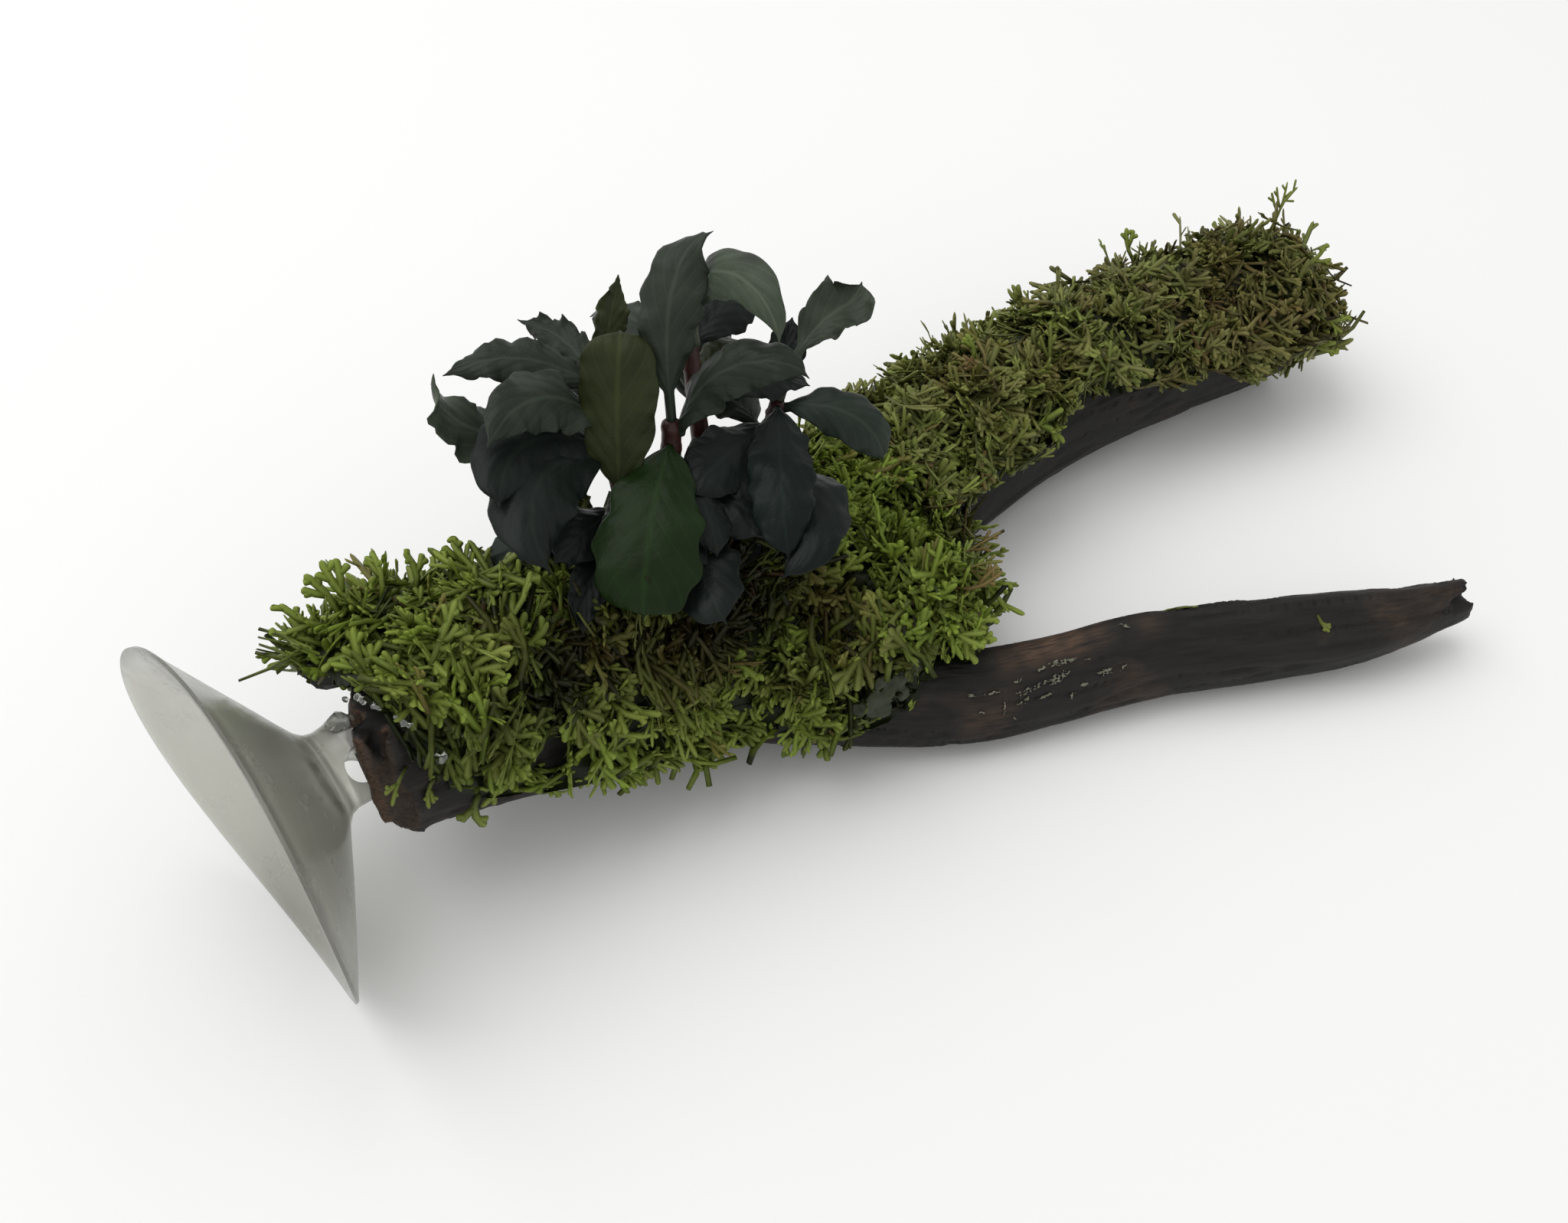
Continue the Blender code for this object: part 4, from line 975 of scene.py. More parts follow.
def saw_off(item):
    """Cut the trunk off flat at the sawn face, and break its rear edge away."""
    make_active(item)
    bpy.ops.object.mode_set(mode='EDIT')
    for way in (SAWN_FACING,) + END_BREAKS:
        bpy.ops.mesh.select_all(action='SELECT')
        bpy.ops.mesh.bisect(plane_co=world(*SAWN_PLACE), plane_no=way, use_fill=True, clear_outer=True)
    bpy.ops.object.mode_set(mode='OBJECT')


def chip_off(limb, chips, facing):
    """Cut chips out of a face of the trunk's end."""
    for corners, depth in chips:
        cut_out(limb, [[world(*(Vector(corner) + facing * way)) for corner in corners]
                       for way in (CHIP_CLEARANCE, -depth)])


def finish_end(trunk):
    """The lip, the chips and the splinters at the sawn end, joined to the trunk."""
    chip_off(trunk, SAWN_CHIPS, SAWN_FACING)
    lip = add_mesh("lip", *loft([[world(row[0], row[1], row[k]) for row in END_LIP] for k in (2, 3)]))
    outward_normals(lip)
    chip_off(lip, BEVEL_CHIPS, BEVEL_FACING)
    parts = [trunk, lip]
    for root, tip, radius in SPLINTERS:
        line = [Vector(root).lerp(Vector(tip), share) for share, _ in SPLINTER_TAPER]
        radii = [radius * taper for _, taper in SPLINTER_TAPER]
        parts.append(add_mesh("splinter", *loft(tube(line, radii, SPLINTER_SIDES))))
    return join(parts)


def grain_places(points):
    """Straightened places of points in the wood: along the nearest limb, then across it."""
    best = np.full(len(points), np.inf)
    result = np.zeros((len(points), 3))
    for number, rows in enumerate(LIMBS.values()):
        smooth, centres, frames = limb_path(rows, LIMB_RINGS)
        middle = np.array([world(*c) for c in centres])
        radius = np.array([row[3] + row[4] for row in smooth]) * 0.5 * MM
        steps = np.linalg.norm(np.diff(middle, axis=0), axis=1)
        along = np.concatenate(([0], np.cumsum(steps)))
        distance = np.linalg.norm(points[:, None, :] - middle[None], axis=2)
        nearest = distance.argmin(axis=1)
        offset = points - middle[nearest]
        share = distance.min(axis=1) / radius[nearest]
        tangent, side, up = (np.array([f[k] for f in frames])[nearest] for k in range(3))
        local = np.stack((along[nearest] + (offset * tangent).sum(1), (offset * side).sum(1),
                          (offset * up).sum(1)), axis=1)
        local[:, 0] = local[:, 0] / GRAIN_STRETCH + number * LIMB_SHIFT
        closer = share < best
        best[closer] = share[closer]
        result[closer] = local[closer]
    return result


def inside(place, corners):
    """How far a place lies inside a convex outline: the least distance to its sides."""
    sides = zip(corners, corners[1:] + corners[:1])
    area = sum(a[0] * b[1] - b[0] * a[1] for a, b in zip(corners, corners[1:] + corners[:1]))
    turn = 1 if area > 0 else -1
    return min(turn * ((b[0] - a[0]) * (place[1] - a[1]) - (b[1] - a[1]) * (place[0] - a[0]))
               / math.dist(a, b) for a, b in sides)


def sawn_end_wear(points, normals):
    """How brown the wood is: the sawn face, the bevelled face and the light chip."""
    wear = np.zeros(len(points))
    depth = (points - np.array(world(*SAWN_PLACE))) @ -np.array(SAWN_FACING) / MM
    bevel_depth = (points - np.array(world(*BEVEL_PLACE))) @ -np.array(BEVEL_FACING) / MM
    wear[(depth < SAWN_SKIN) & (normals[:, 0] < -0.5)] = BROWN_SHARES["face"]
    on_bevel = (bevel_depth < BEVEL_SKIN) & (points[:, 0] < world(BEVEL_END_X, 0, 0).x)
    wear[on_bevel] = BROWN_SHARES["face"]
    wear[on_bevel & (points[:, 0] < world(BEVEL_EDGE_X, 0, 0).x)] = BROWN_SHARES["edge"]
    for index in np.nonzero((wear > 0) & (bevel_depth > BEVEL_SKIN))[0]:
        place = (points[index, 1] / MM + ORIGIN.y, points[index, 2] / MM)
        if inside(place, BROWN_CHIP) > 0:
            wear[index] = BROWN_SHARES["chip"]
    return wear


def build_driftwood(settings):
    """The forked branch as one skin: limbs joined, remade fine, then given its grain."""
    limbs = [build_limb(f"limb_{name}", rows) for name, rows in LIMBS.items()]
    split_tip(limbs[2])
    saw_off(limbs[0])
    limbs[0] = finish_end(limbs[0])
    branch = join(limbs)
    branch.name = "driftwood"
    apply_modifier(branch, 'REMESH', mode='VOXEL', voxel_size=settings.voxel)
    mesh = branch.data
    points = read_rows(mesh.vertices, "co", 3).astype(float)
    normals = read_rows(mesh.vertices, "normal", 3).astype(float)
    grain = grain_places(points)
    shift = np.zeros(len(points))
    for index, place in enumerate(grain):
        ridge = noise.fractal(Vector(place / (GRAIN_WIDTH * MM)), *RIDGE_NOISE)
        crack = noise.noise(Vector(place / (CRACK_WIDTH * MM) + CRACK_SHIFT))
        crack = 1 - abs(crack) * CRACK_SHARPNESS
        shift[index] = settings.grain_depth * ridge - settings.crack_depth * max(0.0, crack)
    wear = sawn_end_wear(points, normals)
    front_arm = tree_of("wood_front_arm")
    for px, py, radius, share in WORN_SPOTS:
        spot, _ = seen_at(px, py, front_arm)
        near = np.exp(-(np.linalg.norm(points - np.array(spot), axis=1) / (radius * MM)) ** 2)
        wear = np.where(near > LEAST_WEAR, np.maximum(wear, near * share), wear)
    points += normals * (shift * np.where(wear == 0, 1.0, WORN_GRAIN))[:, None]
    points[:, 2] = np.maximum(points[:, 2], 0.0)
    mesh.vertices.foreach_set("co", points.astype(np.float32).ravel())
    layer = mesh.attributes.new("grain", 'FLOAT_VECTOR', 'POINT')
    layer.data.foreach_set("vector", grain.astype(np.float32).ravel())
    layer = mesh.attributes.new("wear", 'FLOAT', 'POINT')
    layer.data.foreach_set("value", wear.astype(np.float32))
    mesh.update()
    mesh.shade_smooth()
    finish_piece(branch, wet_driftwood(settings), "driftwood", *WOOD_SOLIDS)


class RibbonShape:
    """A forked ribbon of unit length: closed strips that overlap at the forks.

    Each point has a place on its strip's middle line, in lengths, and an offset from it,
    in widths across and thicknesses up.
    """

    def __init__(self):
        self.middle = []
        self.offset = []
        self.corners = []
        self.sizes = []

    def add_strip(self, line):
        """A strip through (along, across, half width) places, closed at root and tip."""
        start = len(self.middle)
        for i, (u, v, half) in enumerate(line[:-1]):
            before = line[max(i - 1, 0)]
            after = line[i + 1]
            heading = math.atan2(after[1] - before[1], after[0] - before[0])
            side = (-math.sin(heading), math.cos(heading))
            for across, high in ((half, 0.0), (0.0, 1.0), (-half, 0.0), (0.0, -1.0)):
                self.middle.append((u, v))
                self.offset.append((side[0] * across, side[1] * across, high * min(1.0, half * 2.4)))
        self.middle.append(line[-1][:2])
        self.offset.append((0.0, 0.0, 0.0))
        tip = len(self.middle) - 1
        rings = len(line) - 1
        for r in range(rings - 1):
            for s in range(4):
                a = start + r * 4 + s
                b = start + r * 4 + (s + 1) % 4
                self.add_face(a, b, b + 4, a + 4)
        last = start + (rings - 1) * 4
        for s in range(4):
            self.add_face(last + s, last + (s + 1) % 4, tip)
        self.add_face(start + 3, start + 2, start + 1, start)

    def add_face(self, *corners):
        """One face through points by their numbers."""
        self.corners += corners
        self.sizes.append(len(corners))

    def freeze(self):
        """Turn the lists into arrays."""
        self.middle = np.array(self.middle)
        self.offset = np.array(self.offset)
        self.corners = np.array(self.corners)
        self.sizes = np.array(self.sizes)
        return self


def bent_line(start, heading, bend, length, stops):
    """Stops of a strip that leaves a place at a heading and bends.

    Each given stop is a share of the length and a half width there.
    """
    line = []
    place = start
    done = 0.0
    for share, half in stops:
        way = heading + bend * (share + done) / 2
        step = (share - done) * length
        place = (place[0] + math.cos(way) * step, place[1] + math.sin(way) * step)
        line.append((*place, half))
        done = share
    return line


def antler_ribbon(rng, twigs):
    """One fleshy ribbon that bends and forks like an antler, with an arm and blunt twigs."""
    shape = RibbonShape()
    bend = rng.choice((-1, 1)) * rng.uniform(0.3, 1.5)
    shares = [stop[0] for stop in RIBBON_STOPS]
    main = bent_line((0.0, 0.0), -bend / 2, bend, 1.0, RIBBON_STOPS)
    shape.add_strip(main)
    side = rng.choice((-1, 1))
    arm_share = rng.uniform(0.32, 0.5)
    arm_start = tuple(np.interp(arm_share, shares, [stop[axis] for stop in main]) for axis in (0, 1))
    heading = bend * (arm_share - 0.5) + side * rng.uniform(0.7, 1.1)
    arm_bend = -side * rng.uniform(0.2, 0.8)
    arm_length = rng.uniform(0.4, 0.55)
    arm = bent_line(arm_start, heading, arm_bend, arm_length, ARM_STOPS)
    shape.add_strip(arm)
    places = ((main, bend, -0.5 * bend, 0.7, -side), (arm, arm_bend, heading, 0.55, side),
              (main, bend, -0.5 * bend, 0.84, side))
    for line, line_bend, line_heading, share, way in places[:twigs]:
        share += rng.uniform(-0.05, 0.05)
        line_shares = [stop[0] for stop in (RIBBON_STOPS if line is main else ARM_STOPS)]
        place = tuple(np.interp(share, line_shares, [stop[axis] for stop in line]) for axis in (0, 1))
        turn = line_heading + line_bend * share + way * rng.uniform(0.7, 1.1)
        length = rng.uniform(0.14, 0.24)
        shape.add_strip(bent_line(place, turn, -way * rng.uniform(0.0, 0.6), length, TWIG_STOPS))
    return shape.freeze()


def grow(shape, root, along, face, length, width, thickness, curl, sway, twist):
    """Copies of a ribbon shape in the world, one for each row of the given arrays."""
    across = np.cross(face, along)
    u = shape.middle[:, 0]
    forward = length[:, None] * u + width[:, None] * shape.offset[:, 0]
    lateral = length[:, None] * shape.middle[:, 1] + width[:, None] * shape.offset[:, 1]
    high = (width * thickness * 0.5)[:, None] * shape.offset[:, 2]
    turn = twist[:, None] * u
    side = lateral * np.cos(turn) - high * np.sin(turn) + (sway * length)[:, None] * u * u
    rise = lateral * np.sin(turn) + high * np.cos(turn) + (curl * length)[:, None] * u * u
    return (root[:, None, :] + forward[..., None] * along[:, None, :]
            + side[..., None] * across[:, None, :] + rise[..., None] * face[:, None, :])


class Tangle:
    """Collects the points, faces and growth values of a pad."""

    def __init__(self):
        self.points = []
        self.corners = []
        self.sizes = []
        self.growth = []
        self.count = 0

    def add(self, points, corners, sizes, growth):
        """Points and the faces between them."""
        self.points.append(points)
        self.corners.append(corners + self.count)
        self.sizes.append(sizes)
        self.growth.append(growth)
        self.count += len(points)

    def add_ribbons(self, shape, points, light, shade, dull, brown):
        """Add grown copies of one shape, with each ribbon's light, shade, dullness and brown."""
        number, size = points.shape[:2]
        starts = (np.arange(number) * size)[:, None]
        # Painted shade: the green darkens from tip to root and with the ribbon's own light, and the shade
        # spots darken it further
        tip = np.clip(shape.middle[:, 0], 0, 1)[None, :] * 0.62 + light[:, None]
        tip *= 1 - np.clip(shade, 0, 1)[:, None]
        growth = np.stack((tip, np.repeat(dull[:, None], size, 1), np.repeat(brown[:, None], size, 1),
                           np.ones((number, size))), axis=2)
        self.add(points.reshape(-1, 3), (shape.corners[None] + starts).ravel(),
                 np.tile(shape.sizes, number), growth.reshape(-1, 4))

    def build(self, name):
        """The object of all that was collected."""
        return add_big_mesh(name, np.concatenate(self.points), np.concatenate(self.corners),
                            np.concatenate(self.sizes), np.concatenate(self.growth))


def unit(vectors):
    """Rows of unit length."""
    return vectors / np.maximum(np.linalg.norm(vectors, axis=-1, keepdims=True), 1e-9)


def open_places(name, density, rng, neighbours, wood):
    """Places on the open side of a moss solid, with normals and the depth down to the wood."""
    mesh = frame["nodes"][name].data
    mesh.calc_loop_triangles()
    index = read_rows(mesh.loop_triangles, "vertices", 3, np.int32)
    corners = read_rows(mesh.vertices, "co", 3)[index].astype(float)
    normal = np.cross(corners[:, 1] - corners[:, 0], corners[:, 2] - corners[:, 0])
    area = np.linalg.norm(normal, axis=1) / 2
    normal = unit(normal)
    count = int(density * area.sum() * 1e4)
    chosen = rng.choice(len(area), count, p=area / area.sum())
    a, b = rng.random((2, count))
    flip = a + b > 1
    a[flip] = 1 - a[flip]
    b[flip] = 1 - b[flip]
    tri = corners[chosen]
    places = tri[:, 0] + a[:, None] * (tri[:, 1] - tri[:, 0]) + b[:, None] * (tri[:, 2] - tri[:, 0])
    kept, depths = [], []
    for number, (place, face) in enumerate(zip(places, normal[chosen])):
        start = Vector(place)
        up = Vector(face)
        if neighbours.ray_cast(start + up * 0.05 * MM, up, NEIGHBOUR_GAP * MM)[0] is not None:
            continue
        hit = wood.ray_cast(start, -up, WOOD_SEARCH * MM)
        kept.append(number)
        depths.append(hit[3] if hit[0] is not None else DEPTH_WITHOUT_WOOD * MM)
    return places[kept], normal[chosen][kept], np.array(depths)


def spot_values(places, spots):
    """Brown, sink and shade at places, from the spots near them."""
    brown = np.zeros(len(places))
    sink = np.zeros(len(places))
    shade = np.zeros(len(places))
    for centre, radius, spot_brown, spot_sink, spot_shade in spots:
        near = np.exp(-(np.linalg.norm(places - centre, axis=1) / radius) ** 2)
        brown = np.maximum(brown, near * spot_brown)
        sink += near * spot_sink
        shade += near * spot_shade
    return brown, sink, shade


def pixels_of(places):
    """Pixels of the photograph that places of the world fall on."""
    turned = (places - np.array(CAMERA_PLACE)) @ np.array(CAMERA_TURN.to_matrix())
    scale = -FOCAL_PIXELS / turned[..., 2]
    return IMAGE_WIDTH / 2 + turned[..., 0] * scale, IMAGE_HEIGHT / 2 - turned[..., 1] * scale


def left_bare(places):
    """Whether places fall in one of the bare outlines."""
    x, y = pixels_of(places)
    bare = np.zeros(x.shape, bool)
    for outline in BARE_OUTLINES:
        within = np.zeros(x.shape, bool)
        for (ax, ay), (bx, by) in zip(outline, outline[1:] + outline[:1]):
            if ay != by:
                within ^= ((ay > y) != (by > y)) & (x < ax + (bx - ax) * (y - ay) / (by - ay))
        bare |= within
    return bare


def lumps(places, size, seed=0.0):
    """Slow bumps over the moss, from -1 to 1."""
    return np.array([noise.noise(Vector(p / (size * MM) + seed)) for p in places])


def downhill(places, size):
    """Directions that lead down from the middles of the slow bumps."""
    step = 0.5 * MM
    here = lumps(places, size)
    slope = [lumps(places + np.eye(3)[axis] * step, size) - here for axis in range(3)]
    return -np.stack(slope, axis=1) * size * MM / step


def add_mat(tangle, name, wood, spots):
    """The tangle of old growth under the ribbons, dark with painted shade: the solid, sunk in and
    roughened.
    """
    mesh = bmesh.new()
    mesh.from_mesh(frame["nodes"][name].data)
    bmesh.ops.remove_doubles(mesh, verts=mesh.verts, dist=1e-5)
    bmesh.ops.subdivide_edges(mesh, edges=mesh.edges, cuts=2, use_grid_fill=True)
    bmesh.ops.triangulate(mesh, faces=mesh.faces)
    mesh.normal_update()
    moved = []
    for vert in mesh.verts:
        clear = max(0.0, wood.find_nearest(vert.co)[3] - MAT_GAP * MM)
        rough = 1 + 0.35 * noise.noise(vert.co / (MAT_GRAIN * MM))
        moved.append(vert.co - vert.normal * min(MAT_DEPTH * MM, clear * 0.75) * rough)
    points = np.array(moved)
    mesh.verts.index_update()
    corners = np.array([v.index for face in mesh.faces for v in face.verts])
    bare = (left_bare(points) | left_bare(np.array([v.co for v in mesh.verts])))[corners].reshape(-1, 3)
    corners = corners.reshape(-1, 3)[~bare.any(axis=1)].ravel()
    brown = spot_values(points, spots)[0]
    # The mat's low light is painted shade deep in the pad; its dullness and brown are its own
    tone, dullness, old_share = MAT_SHADE_AND_GROWTH
    growth = np.stack((np.full(len(points), tone), np.full(len(points), dullness),
                       np.clip(brown * old_share, 0, 1), np.ones(len(points))), axis=1)
    tangle.add(points, corners, np.full(len(corners) // 3, 3), growth)
    mesh.free()


def add_pad_ribbons(tangle, name, row, shapes, rng, neighbours, wood, spots, settings):
    """Ribbons all over the open side of a pad, tips at the solid's surface or a bit below."""
    width, length, density, lean, forked, dullness, old_share = row
    places, normals, depths = open_places(name, density, rng, neighbours, wood)
    count = len(places)
    brown, sink, shade = spot_values(places, spots)
    bumps = lumps(places, TUFT_SIZE)
    below = rng.uniform(0, 1, count) ** 1.2 * TIP_DEPTH + sink + np.clip(0.15 - bumps, 0, 1) * TUFT_DEPTH
    below = np.minimum(below * MM, depths * 0.6)
    stray = rng.random(count) < STRAY_SHARE
    below[stray] = -rng.uniform(*STRAY_REACH, stray.sum()) * MM
    angle = np.radians(np.clip(rng.normal(lean, LEAN_SPREAD, count), *LEAN_LIMITS))
    angle = np.clip(angle + shade * 0.6, 0.1, 1.5)
    angle[stray] *= 0.5
    spin = rng.uniform(0, 2 * math.pi, count)
    helper = unit(np.cross(normals, np.array((0.31, 0.17, 0.93))))
    other = np.cross(normals, helper)
    level = helper * np.cos(spin)[:, None] + other * np.sin(spin)[:, None]
    level = level + downhill(places, TUFT_SIZE) * 1.2
    level -= normals * (level * normals).sum(1)[:, None]
    fall = np.array((0, 0, -1.0)) - normals * -normals[:, 2:3]
    level = unit(level + fall * (0.9 * (1 - np.clip(normals[:, 2:3], 0, 1))))
    along = unit(normals * np.cos(angle)[:, None] + level * np.sin(angle)[:, None])
    face = unit(normals - along * (normals * along).sum(1)[:, None])
    roll = rng.normal(0, 0.5, count)[:, None]
    face = unit(face * np.cos(roll) + np.cross(along, face) * np.sin(roll))
    size = length * rng.uniform(0.7, 1.2, count) * MM
    curl = rng.normal(-0.05, 0.3, count)
    height = size * np.cos(angle) * 0.9
    root = places - normals * (below + height)[:, None] - level * (size * np.sin(angle) * 0.75)[:, None]
    # Painted shade: a ribbon that lies deeper in the pad gets a darker green
    light = np.clip(0.40 - below / MM * 0.12, -0.1, 0.44) + rng.normal(0, 0.07, count)
    dull = np.clip(dullness + rng.normal(0, 0.12, count) + bumps * 0.2, 0, 1)
    patch = np.clip(lumps(places, OLD_PATCH_SIZE, OLD_PATCH_SHIFT) * 2.5, 0, 1) * old_share
    old = np.clip(brown + patch + rng.normal(0, 0.06, count) + (rng.random(count) < 0.03) * 0.6, 0, 1)
    kind = np.where(rng.random(count) < forked, 0, 1) * SHAPES_OF_A_KIND
    kind += rng.integers(0, SHAPES_OF_A_KIND, count)
    wide = width * settings.ribbon_scale * rng.uniform(0.8, 1.2, count) * MM
    sway = rng.normal(0, 0.2, count)
    twist = rng.normal(0, 0.5, count)
    for number, shape in enumerate(shapes):
        pick = kind == number
        if pick.any():
            points = grow(shape, root[pick], along[pick], face[pick], size[pick], wide[pick],
                          settings.thickness, curl[pick], sway[pick], twist[pick])
            clear = left_bare(points).mean(axis=1) < OVERHANG
            values = (kept[pick][clear] for kept in (light, shade, dull, old))
            tangle.add_ribbons(shape, points[clear], *values)


def picture_direction(degrees):
    """A direction in the picture, turned from its right towards its top."""
    turn = math.radians(degrees)
    return PICTURE_RIGHT * math.cos(turn) + PICTURE_UP * math.sin(turn)


def add_single_ribbon(tangle, shape, place, normal, level, row, thickness, bends, tones):
    """One ribbon at a place. Its bends are the curl, sway and twist, and its tones the light,
    shade and dullness."""
    length, width, rise, old = row
    along = (level + normal * rise).normalized()
    face = (normal - along * normal.dot(along)).normalized()
    curl, sway, twist = (np.array([value]) for value in bends)
    points = grow(shape, np.array([place]), np.array([along]), np.array([face]),
                  np.array([length * MM]), np.array([width * MM]), thickness, curl, sway, twist)
    tangle.add_ribbons(shape, points, *(np.array([value]) for value in (*tones, old)))


def build_moss(settings):
    """The six pads of moss."""
    wood = tree_of(*WOOD_SOLIDS)
    neighbours = tree_of(*WOOD_SOLIDS, *MOSS_PADS)
    rng = np.random.default_rng(MOSS_SEED)
    shapes = [antler_ribbon(rng, 3) for _ in range(SHAPES_OF_A_KIND)]
    shapes += [antler_ribbon(rng, 1) for _ in range(SHAPES_OF_A_KIND)]
    pads = {name: tree_of(name) for name in MOSS_PADS}
    whole = tree_of(*MOSS_PADS)
    spots = []
    for px, py, radius, *values in MOSS_SPOTS:
        place, _ = seen_at(px, py, whole)
        spots.append((np.array(place), radius * MM, *values))
    material = ribbon_moss(settings)
    tangles = {}
    for name, row in MOSS_PADS.items():
        tangle = tangles[name] = Tangle()
        add_mat(tangle, name, wood, spots)
        add_pad_ribbons(tangle, name, row, shapes, rng, neighbours, wood, spots, settings)
    for number, (px, py, degrees, *row) in enumerate(MOSS_SPRIGS):
        place, normal = seen_at(px, py, whole)
        name = min(pads, key=lambda pad: pads[pad].find_nearest(place)[3])
        root = place - normal * SPRIG_DEPTH * MM
        add_single_ribbon(tangles[name], shapes[number % SHAPES_OF_A_KIND], root, normal,
                          picture_direction(degrees), row, settings.thickness, SPRIG_BENDS, SPRIG_TONES)
    for name, tangle in tangles.items():
        finish_piece(tangle.build(f"{name}_ribbons"), material, "moss", name)


def add_scraps(bark, material):
    """Torn ribbons of moss that lie on bare wood."""
    rng = np.random.default_rng(SCRAP_SEED)
    tangle = Tangle()
    for px, py, degrees, *row in MOSS_SCRAPS:
        place, normal = seen_at(px, py, bark)
        level = picture_direction(degrees)
        level = (level - normal * level.dot(normal)).normalized()
        add_single_ribbon(tangle, antler_ribbon(rng, 2), place + normal * SCRAP_HEIGHT * MM,
                          normal, level, row, SCRAP_THICKNESS, SCRAP_BENDS, SCRAP_TONES)
    finish_piece(tangle.build("moss_scraps"), material, "moss")


def stem_radius(foot_radius, height):
    """Radius of a stem at a height from 0, its foot, to 1, its top."""
    return foot_radius * (1 - (1 - STEM_TAPER) * height)


def stem_lines():
    """Foot, top and radius of each stem, with its foot on the rhizome."""
    lines = {}
    for name, (foot, top, radius) in STEMS.items():
        foot_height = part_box(name)[0].z / MM + 0.25 * radius
        lines[name] = (Vector((*foot, foot_height)), Vector(top), radius)
    return lines


def build_stems(settings):
    """Creeping rhizome with its roots, and the upright stems with their leaf scars."""
    material = red_stem(settings)
    wood = tree_of(*WOOD_SOLIDS)
    down = Vector((0, 0, -1))
    line = []
    for x, y in smooth_rows(RHIZOME_LINE, RHIZOME_RINGS):
        hit = wood.ray_cast(world(x, y, ABOVE_ALL), down)[0]
        line.append(Vector((x, y, hit.z / MM + RHIZOME_RADIUS + 0.5)))
    last = RHIZOME_RINGS - 1
    radii = [RHIZOME_RADIUS * (0.6 + 0.4 * min(1, i / 4, (last - i) / 4)) * (1 + 0.1 * math.sin(1.1 * i))
             for i in range(RHIZOME_RINGS)]
    rhizome = add_mesh("rhizome_skin", *loft(tube(line, radii, STEM_SIDES)))
    roots = []
    for number, (share, degrees, length) in enumerate(ROOTS):
        heading = math.radians(degrees)
        path = [line[round(share * last)]]
        for step in range(1, ROOT_STEPS + 1):
            heading += 0.35 * noise.noise(Vector((number * 3.7, step * 0.45, 0)))
            point = path[-1] + Vector((math.cos(heading), math.sin(heading), 0)) * length / ROOT_STEPS
            hit = wood.ray_cast(world(point.x, point.y, ABOVE_ALL), down)[0]
            if hit is None:
                break
            point.z = min(path[-1].z, hit.z / MM + 0.8 * ROOT_RADIUS + 0.4)
            path.append(point)
        thin = [ROOT_RADIUS * (1.2 - 0.7 * i / len(path)) for i in range(len(path))]
        roots.append(add_mesh(f"root_{number}", *loft(tube(path, thin, 8))))
    whole = join([rhizome, *roots])
    outward_normals(whole)
    whole.data.shade_smooth()
    finish_piece(whole, material, "stem", "rhizome")
    for name, (foot, top, radius) in stem_lines().items():
        foot = foot - Vector((0, 0, 2.0))
        length = (top - foot).length
        path = []
        radii = []
        for i in range(STEM_RINGS):
            place = i / (STEM_RINGS - 1)
            sway = Vector((math.sin(7 * place + foot.x), math.cos(6 * place + foot.x), 0)) * 0.25
            path.append(foot.lerp(top, place) + sway * math.sin(math.pi * place))
            scar = max(0.0, math.cos(2 * math.pi * place * length / SCAR_SPACING)) ** 6
            radii.append(stem_radius(radius, place) * (0.88 + 0.16 * scar))
        radii[-1] *= 0.6
        stem = add_mesh(f"{name}_skin", *loft(tube(path, radii, STEM_SIDES)))
        outward_normals(stem)
        stem.data.shade_smooth()
        finish_piece(stem, material, "stem", name)


def leaf_line(stem, row):
    """Midrib places of a leaf with its side and face vectors there."""
    foot, top, radius = stem
    height, growing_side, direction, rise, fall, turn, length, _, roll = row[1:10]
    curl, hook = row[17:19]
    outward = math.radians(growing_side)
    point = foot.lerp(top, height)
    if height < 1.0:
        clearance = stem_radius(radius, height) * 0.75
        point += Vector((math.cos(outward), math.sin(outward), 0)) * clearance
    line = []
    for i in range(LEAF_STEPS + 1):
        s = i / LEAF_STEPS
        end = max(0.0, (s - LEAF_TIP_FROM) / (1 - LEAF_TIP_FROM))
        pitch = math.radians(rise - fall * s ** LEAF_BEND + curl * end)
        yaw = math.radians(direction + turn * s + hook * end)
        along = Vector((math.cos(pitch) * math.cos(yaw), math.cos(pitch) * math.sin(yaw), math.sin(pitch)))
        face = Vector((-math.sin(pitch) * math.cos(yaw), -math.sin(pitch) * math.sin(yaw), math.cos(pitch)))
        face.rotate(Matrix.Rotation(math.radians(roll) * min(1.0, 3 * s), 3, along))
        line.append((point.copy(), along.cross(face), face, s))
        point = point + along * ((length + 0.7) / LEAF_STEPS)
    return line


def blade_half_width(u, width, peak, sharpness):
    """Half width of a blade with a drawn-out tip, from 0, its base, to 1, its tip."""
    rise = sharpness * peak
    fall = sharpness * (1 - peak)
    body = 0.0
    if 0 < u < BLADE_END:
        v = u / BLADE_END
        body = v ** rise * (1 - v) ** fall / (peak ** rise * (1 - peak) ** fall)
    tail = min(TAIL_WIDTH, TAIL_WIDTH * (1 - u) / (1 - BLADE_END))
    return max(width * body, STALK_RADIUS * 2 * (1 - 2 * u), tail, 0.1) / 2


